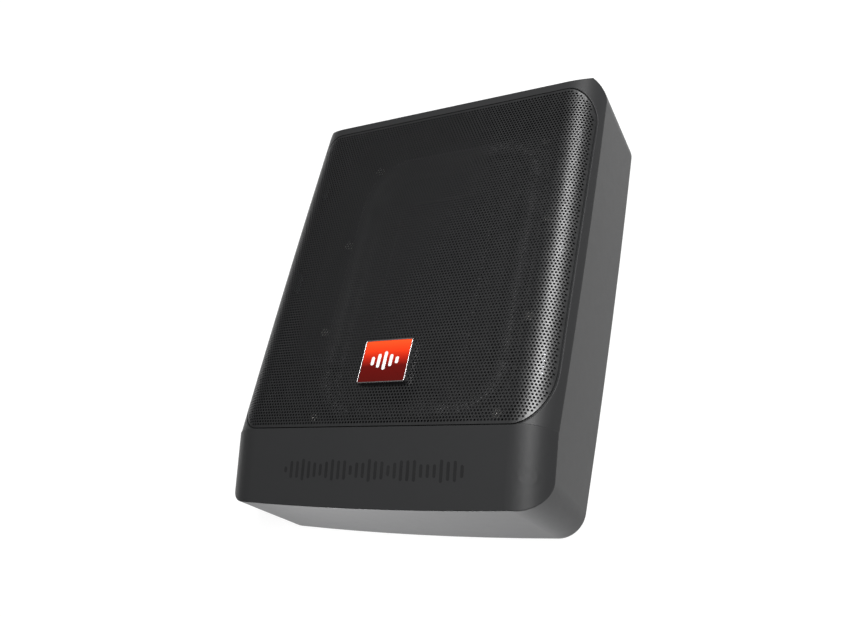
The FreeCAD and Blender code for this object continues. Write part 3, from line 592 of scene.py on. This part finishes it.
def circuit_board():
    """Solder mask with tracks beneath it and a scatter of bright pads."""
    material, tree, shader = new_material("circuit_board")
    tracks_x = bands(tree, pitch=1.9, axis="X", distort=2.5)
    tracks_y = bands(tree, pitch=2.3, axis="Y", distort=3.0)
    tracks = combine(tree, tracks_x, tracks_y, "MAXIMUM")
    pads = speckle(tree, size=3.2)
    mask = between(tree, tracks, ((0.72, (0.006, 0.045, 0.016)), (0.80, (0.02, 0.11, 0.04))))
    pad = spread(tree, pads, low=1.0, high=0.0, start=0.17, end=0.20)
    mix = tree.nodes.new("ShaderNodeMix")
    mix.data_type = "RGBA"
    tree.links.new(pad, mix.inputs["Factor"])
    tree.links.new(mask, mix.inputs["A"])
    mix.inputs["B"].default_value = (0.55, 0.53, 0.48, 1.0)
    tree.links.new(mix.outputs["Result"], shader.inputs["Base Color"])
    tree.links.new(spread(tree, tracks, low=0.42, high=0.30), shader.inputs["Roughness"])
    tree.links.new(pad, shader.inputs["Metallic"])
    raise_by(tree, shader, tracks, depth=0.03)
    return material


def standoff_steel():
    return brushed("standoff_steel", (0.50, 0.49, 0.46), rough=0.32, along=(1.0, 1.0, 10.0), line=0.12)


def capacitor_sleeve():
    return moulded("capacitor_sleeve", (0.014, 0.016, 0.05), rough=0.28, grain=0.8,
                   depth=0.006, tone=0.2, coat=0.4)


def toroid_wire():
    return wound("toroid_wire", (0.62, 0.20, 0.06), pitch=1.1, axis="X", rough=0.22)


def chip_epoxy():
    return moulded("chip_epoxy", (0.018, 0.018, 0.019), rough=0.6, grain=0.3, depth=0.02, tone=0.2)


def heat_sink():
    return brushed("heat_sink", (0.58, 0.59, 0.60), rough=0.34, along=(1.0, 24.0, 1.0), line=0.2)


def panel_black():
    return moulded("panel_black", (0.020, 0.020, 0.021), rough=0.46, grain=0.45,
                   depth=0.02, tone=0.15, edge=0.2)


def socket_white():
    return moulded("socket_white", (0.62, 0.60, 0.54), rough=0.40, grain=0.6,
                   depth=0.01, tone=0.05, edge=0.2)


def contact_tin():
    return brushed("contact_tin", (0.66, 0.66, 0.64), rough=0.26, along=(1.0, 10.0, 1.0), line=0.1)


def contact_gold():
    return brushed("contact_gold", (0.83, 0.60, 0.22), rough=0.22, along=(1.0, 10.0, 1.0), line=0.1)


def socket_black():
    return moulded("socket_black", (0.022, 0.022, 0.023), rough=0.44, grain=0.5, depth=0.012, tone=0.15)


def rca_nickel():
    return brushed("rca_nickel", (0.68, 0.66, 0.61), rough=0.18, along=(1.0, 8.0, 1.0), line=0.12)


def rca_insulator():
    return moulded("rca_insulator", (0.030, 0.030, 0.031), rough=0.42, grain=0.5, depth=0.01, tone=0.15)


def fuse_plastic():
    return moulded("fuse_plastic", (0.72, 0.20, 0.012), rough=0.24, grain=0.9,
                   depth=0.004, tone=0.1, coat=0.6, edge=0.2)


def pot_case():
    return brushed("pot_case", (0.52, 0.52, 0.50), rough=0.36, along=(10.0, 1.0, 1.0), line=0.15)


def light_lens():
    return moulded("light_lens", (0.06, 0.16, 0.55), rough=0.14, grain=0.8,
                   depth=0.002, tone=0.12, coat=1.0)


def shaft_metal():
    return brushed("shaft_metal", (0.60, 0.60, 0.58), rough=0.25, along=(1.0, 12.0, 1.0), line=0.1)


def knob_black():
    return moulded("knob_black", (0.017, 0.017, 0.018), rough=0.38, grain=0.4,
                   depth=0.012, tone=0.15, edge=0.15)


def switch_black():
    return moulded("switch_black", (0.024, 0.024, 0.025), rough=0.36, grain=0.4,
                   depth=0.012, tone=0.15, edge=0.15)


def print_white():
    return moulded("print_white", (0.66, 0.66, 0.65), rough=0.55, grain=0.3, depth=0.004, tone=0.06)


# ---------------------------------------------------------------- grille
def roll_start(y):
    """Where the flat top ends and the rolled side begins."""
    return ROLL_X - (SIDE_R - math.sqrt(SIDE_R ** 2 - y ** 2))


def unrolled_to_plan(along, y):
    """Plan x of a point measured along the sheet from the middle line."""
    flat = roll_start(y)
    if abs(along) <= flat:
        return along
    turn = min((abs(along) - flat) / ROLL_R, ROLL_END)
    return math.copysign(flat + ROLL_R * math.sin(turn), along)


def sheet_point(x, y, inset):
    """A point of the top at plan x, y, moved inwards by inset, in three dimensions."""
    reach = abs(x) - roll_start(y)
    if reach <= 0:
        return (x, y, TOP_Z - inset)
    turn = math.asin(min(reach / ROLL_R, 0.999))
    radius = ROLL_R - inset
    side = roll_start(y) + radius * math.sin(turn)
    return (math.copysign(side, x), y, ROLL_Z + radius * math.cos(turn))


def outline_corner(x, y, margin):
    """The corner ellipse that rules at x, y: its centre and half axes, or None on a straight edge."""
    rear = y > 0
    axis_x, axis_y = GRILLE_CORNER_REAR if rear else GRILLE_CORNER_FRONT
    mid_x = GRILLE_HALF_W - axis_x
    mid_y = GRILLE_REAR_Y - axis_y if rear else GRILLE_FRONT_Y + axis_y
    past_y = y - mid_y if rear else mid_y - y
    if abs(x) <= mid_x or past_y <= 0:
        return None
    return math.copysign(mid_x, x), mid_y, axis_x - margin, axis_y - margin


def keep_in_outline(x, y, margin=0.0):
    """The point itself if it is inside the outline, or else the nearest place on it, roughly."""
    corner = outline_corner(x, y, margin)
    if corner:
        mid_x, mid_y, axis_x, axis_y = corner
        far = math.hypot((x - mid_x) / axis_x, (y - mid_y) / axis_y)
        if far > 1:
            return mid_x + (x - mid_x) / far, mid_y + (y - mid_y) / far
        return x, y
    half_w = GRILLE_HALF_W - margin
    inside_x = max(-half_w, min(half_w, x))
    inside_y = max(GRILLE_FRONT_Y + margin, min(GRILLE_REAR_Y - margin, y))
    return inside_x, inside_y


def is_inside(x, y, margin):
    kept = keep_in_outline(x, y, margin)
    return abs(kept[0] - x) < SAME_PLACE and abs(kept[1] - y) < SAME_PLACE


def cell_corners(a, b, middle_y):
    """Plan points of the cell round the hole at a half pitches and b half rows."""
    y = middle_y + b * ROW_PITCH / 2
    plan = []
    for da, db in CELL_EDGE:
        x = unrolled_to_plan((a + da) * HOLE_PITCH / 2, y)
        plan.append((x, y + db * ROW_PITCH / 2))
    return plan


def hole_faces(edge, hole):
    """Faces from a cell's edge in to its hole, on top, below and down the side of the hole."""
    faces = []
    for i in range(len(edge)):
        k = (i + 1) % len(edge)
        faces.append((edge[i], edge[k], hole[k], hole[i]))
        faces.append((edge[i] + 1, hole[i] + 1, hole[k] + 1, edge[k] + 1))
        faces.append((hole[i], hole[k], hole[k] + 1, hole[i] + 1))
    return faces


def plain_faces(edge):
    """Faces of a cell with no hole, on top and below."""
    return [tuple(edge), tuple(index + 1 for index in reversed(edge))]


def toggle_rim(rim, edge):
    """Adds a cell's sides to the rim, and takes out those it shares with a cell already there."""
    for i in range(len(edge)):
        start, end = edge[i], edge[(i + 1) % len(edge)]
        if (end, start) in rim:
            del rim[(end, start)]
        else:
            rim[(start, end)] = True


def clean_up(mesh):
    """Merges the points that the outline pushed together and drops what has no area."""
    shape = bmesh.new()
    shape.from_mesh(mesh)
    bmesh.ops.remove_doubles(shape, verts=shape.verts, dist=MERGE_WITHIN * MM)
    bmesh.ops.dissolve_degenerate(shape, edges=shape.edges, dist=SHORTEST_EDGE * MM)
    shape.to_mesh(mesh)
    shape.free()


def perforated_sheet(name, first_column, last_column, material):
    """Part of the sheet between two columns of holes: a closed solid with every hole cut through it."""
    half_pitch = HOLE_PITCH / 2
    half_row = ROW_PITCH / 2
    middle_y = (GRILLE_FRONT_Y + GRILLE_REAR_Y) / 2
    half_length = (GRILLE_REAR_Y - GRILLE_FRONT_Y) / 2
    points = []
    faces = []
    corners = {}
    rim = {}

    def add(x, y):
        """Adds a point on top and the one below it, and gives back the first one's number."""
        points.append(sheet_point(x, y, 0.0))
        points.append(sheet_point(x, y, SHEET_T))
        return len(points) - 2

    def corner(a, b):
        """The corner that neighbouring cells share at a half pitches and b half rows."""
        if (a, b) not in corners:
            y = middle_y + b * half_row
            x = unrolled_to_plan(a * half_pitch, max(GRILLE_FRONT_Y, min(GRILLE_REAR_Y, y)))
            corners[(a, b)] = add(*keep_in_outline(x, y))
        return corners[(a, b)]

    def hole_edge(a, y):
        hole = []
        for i in range(len(CELL_EDGE)):
            turn = 2 * math.pi * i / len(CELL_EDGE)
            x = unrolled_to_plan(a * half_pitch + HOLE_R * math.cos(turn), y)
            hole.append(add(x, y + HOLE_R * math.sin(turn)))
        return hole

    def add_cell(a, b):
        y = middle_y + b * half_row
        if not any(is_inside(px, py, CELL_OVERLAP) for px, py in cell_corners(a, b, middle_y)):
            return
        edge = [corner(a + da, b + db) for da, db in CELL_EDGE]
        toggle_rim(rim, edge)
        if is_inside(unrolled_to_plan(a * half_pitch, y), y, GRILLE_MARGIN):
            faces.extend(hole_faces(edge, hole_edge(a, y)))
        else:
            faces.extend(plain_faces(edge))

    rows = int((GRILLE_REAR_Y - GRILLE_FRONT_Y) / ROW_PITCH / 2) + 1
    for row in range(-rows, rows + 1):
        if abs(2 * row * half_row) > half_length + half_row:
            continue
        for column in range(first_column, last_column):
            add_cell(2 * column + row % 2, 2 * row)
    for start, end in rim:
        faces.append((start, start + 1, end + 1, end))
    mesh = raw_mesh(name, points, faces, material)
    clean_up(mesh)
    fix(add_to_scene(name, mesh), "enclosure", "grille_paint", "grille")


def grille():
    """The perforated sheet, in pieces side by side that stand in for the plain one."""
    material = grille_paint()
    sheet_half = ROLL_X + ROLL_R * math.asin((GRILLE_HALF_W - ROLL_X) / ROLL_R) + SHEET_SPARE
    columns = int(sheet_half / HOLE_PITCH) + 1
    width = 2 * columns
    for index in range(GRILLE_PIECES):
        first = -columns + width * index // GRILLE_PIECES
        last = -columns + width * (index + 1) // GRILLE_PIECES
        perforated_sheet("grille_sheet_%d" % (index + 1), first, last, material)


# ---------------------------------------------------------------- badge and band marks
def badge_body(path, top):
    """The dark block that the chrome frame stands on."""
    profile = (
        (-0.10, TOP_Z),
        (-0.02, top - BADGE_RIM_DEEP),
        (-BADGE_RIM, top - BADGE_RIM_DEEP),
        (-BADGE_RIM, TOP_Z),
    )
    body = make_mesh("badge_body", *swept_ring(path, profile), socket_black(), True)
    soften(body, BADGE_EDGE_SOFT, segments=2, angle=BADGE_SOFT_ANGLE)
    fix(body, "enclosure", "badge_chrome", "badge_frame")


def badge_rim(path, top):
    """The chrome frame, rolled over from its outer side to its inner one."""
    profile = (
        (0.0, top - BADGE_RIM_DEEP),
        (-0.03, top - 0.16),
        (-0.16, top - 0.03),
        (-0.32, top),
        (-0.50, top - 0.08),
        (-BADGE_RIM, top - 0.34),
        (-BADGE_RIM, top - BADGE_RIM_DEEP),
    )
    ring = make_mesh("badge_rim", *swept_ring(path, profile), badge_chrome(), True)
    soften(ring, BADGE_EDGE_SOFT, segments=2, angle=BADGE_SOFT_ANGLE)
    fix(ring, "enclosure", "badge_chrome")


def badge_face(half_w, half_l, centre, top):
    """The red plate inside the frame."""
    inner = rounded_path(half_w - BADGE_RIM, half_l - BADGE_RIM, BADGE_FACE_CORNER_R, centre, steps=4)
    outline = [(x, y) for x, y, _, _ in inner]
    red = badge_red(centre[1] - half_l, centre[1] + half_l)
    slab = prism(outline, level(TOP_Z), level(top - BADGE_FACE_DEEP))
    face = make_mesh("badge_face", *slab, red)
    soften(face, BADGE_FACE_SOFT)
    fix(face, "enclosure", "badge_red", "badge_plate")


def badge_bars(middle_y, top):
    """Plain bars of different lengths side by side."""
    under, over = BADGE_BAR_DEEP
    bars = []
    for index, length in enumerate(BADGE_BARS):
        x = (index - (len(BADGE_BARS) - 1) / 2) * BADGE_BAR_STEP
        bar = bar_outline(x, middle_y, BADGE_BAR_W, length)
        bars.append(prism(bar, level(top - under), level(top - over)))
    marks = make_mesh("badge_bars", *joined(bars), badge_white())
    soften(marks, BADGE_BAR_SOFT, segments=2)
    fix(marks, "enclosure", "badge_chrome")


def badge():
    low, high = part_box("badge_frame")
    half_w = (high.x - low.x) / 2 / MM
    half_l = (high.y - low.y) / 2 / MM
    centre = (0.0, (low.y + high.y) / 2 / MM)
    top = high.z / MM
    path = rounded_path(half_w, half_l, BADGE_CORNER_R, centre)
    badge_body(path, top)
    badge_rim(path, top)
    badge_face(half_w, half_l, centre, top)
    badge_bars(centre[1], top)


def band_height(y):
    """Height of the sloping band at the front end."""
    return TOP_Z + BAND_STEP - BAND_SLOPE * (BAND_Y - y)


def band_mark_under(y):
    return band_height(y) - BAND_MARK_SUNK


def band_mark_top(y):
    return band_height(y) + BAND_MARK_PROUD


def band_marks():
    """A row of plain inlaid bars, long and short in turn like a level display."""
    bars = []
    for index in range(BAND_MARK_COUNT):
        place_x = (index - (BAND_MARK_COUNT - 1) / 2) * BAND_MARK_STEP
        wave = sum(abs(math.sin(index * turn)) * share for turn, share in BAND_MARK_WAVES)
        length = BAND_MARK_SHORTEST + BAND_MARK_GROWTH * wave
        outline = bar_outline(place_x, BAND_MARK_Y, BAND_MARK_W, length)
        bars.append(prism(outline, band_mark_under, band_mark_top))
    marks = make_mesh("band_marks", *joined(bars), band_black())
    fix(marks, "enclosure", "badge_chrome")


# ---------------------------------------------------------------- surround and spider
def skin(lines, thick):
    """A sheet through rows of points, as thick as said, measured downwards, closed all round."""
    count = len(lines[0])
    points = [point for line in lines for point in line]
    under = [(x, y, z - thick) for x, y, z in points]
    total = len(points)
    faces = []
    for i in range(len(lines) - 1):
        for j in range(count - 1):
            quad = (i * count + j, i * count + j + 1, (i + 1) * count + j + 1, (i + 1) * count + j)
            faces.append(quad)
            faces.append(tuple(total + index for index in reversed(quad)))
    border = list(range(count))
    border += [i * count + count - 1 for i in range(1, len(lines))]
    border += [(len(lines) - 1) * count + j for j in range(count - 2, -1, -1)]
    border += [i * count for i in range(len(lines) - 2, 0, -1)]
    for start, end in zip(border, border[1:] + border[:1]):
        faces.append((start, end, total + end, total + start))
    return points + under, faces


def roll_profile(pleat):
    """Reach and height of the surround's upper face, from its outer landing to its inner one."""
    crown = ROLL_WIDTH / 2
    profile = [(crown + OUTER_LANDING, RUBBER_T)]
    for step in range(ROLL_STEPS + 1):
        turn = math.pi * step / ROLL_STEPS
        bulge = crown + pleat * math.sin(turn) ** 2
        profile.append((bulge * math.cos(turn), RUBBER_T + bulge * math.sin(turn)))
    profile.append((-crown - INNER_LANDING, RUBBER_T))
    return profile


def surround_piece(name, lines, material):
    """A stretch of the surround."""
    piece = make_mesh(name, *skin(lines, RUBBER_T), material, True)
    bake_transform(piece)
    return piece


def corner_lines(mid, mid_r, first_turn):
    """Cross sections round part of a corner, pleated so that the rubber can stretch."""
    lines = []
    for step in range(CORNER_STEPS + 1):
        turn = first_turn + SECTOR_TURN * step / CORNER_STEPS
        pleat = -PLEAT_DEPTH * (0.5 - 0.5 * math.cos(2 * math.pi * (turn % 90) / PLEAT_TURN))
        out_x = math.cos(math.radians(turn))
        out_y = math.sin(math.radians(turn))
        lines.append([
            (mid[0] + out_x * (mid_r + r), mid[1] + out_y * (mid_r + r), FLANGE_TOP + z)
            for r, z in roll_profile(pleat)
        ])
    return lines


def straight_lines(out_x, out_y, distance, half_run):
    """Cross sections along a straight side of the surround."""
    lines = []
    for step in range(STRAIGHT_STEPS + 1):
        along = half_run * (step / (STRAIGHT_STEPS / 2) - 1)
        lines.append([
            (
                out_x * (distance + r) - out_y * along,
                WOOFER_Y + out_y * (distance + r) + out_x * along,
                FLANGE_TOP + z,
            )
            for r, z in roll_profile(0.0)
        ])
    return lines


def surround():
    """Four straight stretches and four corners, each corner in sectors."""
    material = surround_rubber()
    half_x, half_y, outer_r = ROLL_OUT_HALF
    mid_r = outer_r - ROLL_WIDTH / 2
    reach = ROLL_WIDTH / 2
    for quarter, (sx, sy) in enumerate(QUARTERS):
        mid = (sx * (half_x - outer_r), WOOFER_Y + sy * (half_y - outer_r))
        for part in range(SECTORS_PER_CORNER):
            first = 90 * quarter + SECTOR_TURN * part
            name = "surround_corner_%d_%d" % (quarter + 1, part + 1)
            lines = corner_lines(mid, mid_r, first)
            piece = surround_piece(name, lines, material)
            if quarter == 0 and part == 0:
                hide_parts("surround")
    straights = (
        ("right", (1, 0), half_x - reach, half_y - outer_r),
        ("rear", (0, 1), half_y - reach, half_x - outer_r),
        ("left", (-1, 0), half_x - reach, half_y - outer_r),
        ("front", (0, -1), half_y - reach, half_x - outer_r),
    )
    for name, (out_x, out_y), distance, half_run in straights:
        lines = straight_lines(out_x, out_y, distance, half_run)
        surround_piece("surround_" + name, lines, material)


def spider_line(turn, clamp):
    """A corrugated line from the coil former out to the basket."""
    line = []
    steps = SPIDER_WAVE_STEPS * SPIDER_WAVES
    base = SPIDER_Z + SPIDER_LIFT
    for k in range(steps + 1):
        share = k / steps
        radius = SPIDER_IN_R + (clamp - SPIDER_IN_R) * share
        wave = SPIDER_WAVE_HALF - SPIDER_WAVE_HALF * math.cos(2 * math.pi * SPIDER_WAVES * share)
        line.append((radius * math.cos(turn), WOOFER_Y + radius * math.sin(turn), base + wave))
    line.append((SPIDER_OUT_R * math.cos(turn), WOOFER_Y + SPIDER_OUT_R * math.sin(turn), base))
    return line


def spider():
    """Cloth sectors that are glued to the basket outside and reach in to the coil former."""
    material = spider_cloth()
    clamp = SPIDER_OUT_R - SPIDER_LANDING
    for part in range(int(360 / SECTOR_TURN)):
        lines = []
        for step in range(SPIDER_TURN_STEPS + 1):
            turn = math.radians(SECTOR_TURN * (part + step / SPIDER_TURN_STEPS))
            lines.append(spider_line(turn, clamp))
        piece = make_mesh("spider_sector_%02d" % (part + 1), *skin(lines, SPIDER_T), material, True)
        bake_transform(piece)
        if part == 0:
            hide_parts("spider")


# ---------------------------------------------------------------- printed marks on the rear panel
def on_panel(points):
    """Turns a flat drawing so that its plan lies on the rear panel and its height stands out of it."""
    return [(x, PANEL_Y + z, y) for x, y, z in points]


def tick_mark(knob_x, tick):
    """One of the short lines in a ring round a knob."""
    turn = math.radians(TICK_START - TICK_TURN * tick)
    middle = Vector((knob_x + TICK_RING_R * math.cos(turn), PORT_Z + TICK_RING_R * math.sin(turn)))
    length = TICK_HALF if tick % TICK_LONG_EVERY else TICK_LONG_HALF
    out = Vector((math.cos(turn), math.sin(turn)))
    side = Vector((-out.y, out.x)) * PRINT_HALF_W
    outline = []
    for a, b in ((-1, -1), (1, -1), (1, 1), (-1, 1)):
        outline.append(tuple(middle + out * a * length + side * b))
    return prism(outline, level(PRINT_SUNK), level(PRINT_PROUD))


def socket_line(x, half_x, half_z):
    """A thin line with round corners, printed round a socket."""
    path = rounded_path(half_x, half_z, SOCKET_LINE_CORNER_R, (x, PORT_Z), steps=5)
    profile = (
        (-PRINT_HALF_W, PRINT_SUNK),
        (-PRINT_HALF_W, PRINT_PROUD),
        (PRINT_HALF_W, PRINT_PROUD),
        (PRINT_HALF_W, PRINT_SUNK),
    )
    return swept_ring(path, profile)


def panel_print():
    """Ticks round the knobs and lines round the sockets, as one thin print."""
    parts = [tick_mark(knob_x, tick) for knob_x in KNOB_X for tick in range(TICK_COUNT)]
    parts += [socket_line(x, half_x, half_z) for x, half_x, half_z in SOCKET_LINES]
    points, faces = joined(parts)
    marks = make_mesh("panel_print", on_panel(points), faces, print_white())
    fix(marks, "enclosure", "panel_black")


# ---------------------------------------------------------------- finishes of the CAD nodes
FINISHES = (
    (housing_paint, ("housing_shell",)),
    (base_metal, ("base_plate",)),
    (foam, ("base_gasket", "woofer_gasket")),
    (foot_rubber, ("rubber_feet",)),
    (black_screws, ("base_screws", "panel_screws")),
    (steel_screws, ("woofer_screws", "board_screws")),
    (insert_brass, ("mounting_inserts",)),
    (spring_steel, ("grille_clips",)),
    (basket_steel, ("woofer_basket",)),
    (cone_poly, ("diaphragm",)),
    (cone_cap, ("diaphragm_plate",)),
    (former_kapton, ("coil_former",)),
    (coil_copper, ("voice_coil",)),
    (motor_steel, ("motor_back_plate", "motor_top_plate")),
    (ferrite, ("motor_magnet",)),
    (terminal_board, ("woofer_terminal",)),
    (circuit_board, ("amplifier_board",)),
    (standoff_steel, ("board_standoffs",)),
    (capacitor_sleeve, ("filter_capacitors",)),
    (toroid_wire, ("toroid_inductors",)),
    (chip_epoxy, ("amplifier_chips", "power_transistors")),
    (heat_sink, ("heat_sink_bar",)),
    (panel_black, ("rear_panel",)),
    (socket_white, ("power_socket",)),
    (contact_tin, ("power_pins", "fuse_blades")),
    (contact_gold, ("remote_contacts",)),
    (socket_black, ("remote_socket", "fuse_holder")),
    (rca_nickel, ("rca_barrels",)),
    (rca_insulator, ("rca_insulators",)),
    (fuse_plastic, ("fuse_body",)),
    (pot_case, ("control_pots",)),
    (light_lens, ("status_light",)),
    (shaft_metal, ("level_shaft", "crossover_shaft", "boost_shaft")),
    (knob_black, ("level_knob", "crossover_knob", "boost_knob")),
    (switch_black, (
        "phase_switch_body", "phase_switch_tab", "power_mode_switch_body", "power_mode_switch_tab",
    )),
)


def finish_nodes():
    for make, names in FINISHES:
        material = make()
        for name in names:
            node = NODES[name]
            node.data.materials.clear()
            node.data.materials.append(material)


# ---------------------------------------------------------------- studio
def floor():
    material, tree, shader = new_material("floor")
    cloud = noise(tree, size=300.0, detail=2.0)
    stops = ((0.3, (0.17, 0.17, 0.17)), (0.7, (0.19, 0.19, 0.19)))
    tree.links.new(between(tree, cloud, stops), shader.inputs["Base Color"])
    shader.inputs["Roughness"].default_value = 0.9
    shader.inputs["Specular IOR Level"].default_value = 0.1
    shader.inputs["Emission Color"].default_value = (1.0, 1.0, 1.0, 1.0)
    shader.inputs["Emission Strength"].default_value = FLOOR_GLOW
    corners = ((-1, -1), (1, -1), (1, 1), (-1, 1))
    points = [(sx * FLOOR_HALF, sy * FLOOR_HALF, FLOOR_Z) for sx, sy in corners]
    plane = add_to_scene("floor", raw_mesh("floor", points, [(0, 1, 2, 3)], material))


def sky():
    """Soft room light, dim near the horizon and brighter overhead."""
    world = bpy.data.worlds.new("studio")
    bpy.context.scene.world = world
    world.use_nodes = True
    tree = world.node_tree
    tree.nodes.clear()
    source = tree.nodes.new("ShaderNodeTexCoord")
    split = tree.nodes.new("ShaderNodeSeparateXYZ")
    tree.links.new(source.outputs["Generated"], split.inputs["Vector"])
    stops = (
        (0.0, (0.12, 0.12, 0.12)),
        (0.65, (0.15, 0.15, 0.15)),
        (0.78, (0.24, 0.24, 0.24)),
        (0.92, (0.55, 0.55, 0.55)),
    )
    colour = between(tree, split.outputs["Z"], stops)
    background = tree.nodes.new("ShaderNodeBackground")
    output = tree.nodes.new("ShaderNodeOutputWorld")
    tree.links.new(colour, background.inputs["Color"])
    tree.links.new(background.outputs["Background"], output.inputs["Surface"])


def soft_light(name, place_at, aim, size_x, size_y, power):
    """A rectangular lamp of so many watts that the camera doesn't see."""
    data = bpy.data.lights.new(name, "AREA")
    data.shape = "RECTANGLE"
    data.size = size_x * MM
    data.size_y = size_y * MM
    data.energy = power
    lamp = add_to_scene(name, data)
    lamp.visible_camera = False
    start = Vector(place_at) * MM
    direction = Vector(aim) * MM - start
    lamp.location = start
    lamp.rotation_mode = "QUATERNION"
    lamp.rotation_quaternion = direction.to_track_quat("-Z", "Y")


def lights():
    soft_light("top_right", place_at=(435.0, 300.0, 1000.0), aim=(70.0, 300.0, 55.0),
               size_x=1200.0, size_y=340.0, power=20.0)
    soft_light("front_low", place_at=(10.0, -215.0, 8.0), aim=(22.0, -126.0, 8.0),
               size_x=235.0, size_y=14.0, power=0.58)


def camera():
    data = bpy.data.cameras.new("camera")
    data.sensor_width = CAMERA_SENSOR
    data.lens = CAMERA_LENS
    data.clip_start, data.clip_end = CAMERA_REACH
    shot = add_to_scene("camera", data)
    start = Vector(CAMERA_PLACE) * MM
    forward = (Vector(CAMERA_AIM) * MM - start).normalized()
    level = forward.cross(Vector((0, 0, 1))).normalized()
    upright = level.cross(forward)
    roll = math.radians(CAMERA_ROLL)
    up = upright * math.cos(roll) + level * math.sin(roll)
    right = forward.cross(up)
    turned = Matrix((right, up, -forward)).transposed().to_4x4()
    shot.matrix_world = Matrix.Translation(start) @ turned
    bpy.context.scene.camera = shot


# ---------------------------------------------------------------- build
finish_nodes()
grille()
badge()
band_marks()
surround()
spider()
panel_print()
floor()
sky()
lights()
camera()
bpy.context.scene.view_settings.view_transform = "Standard"
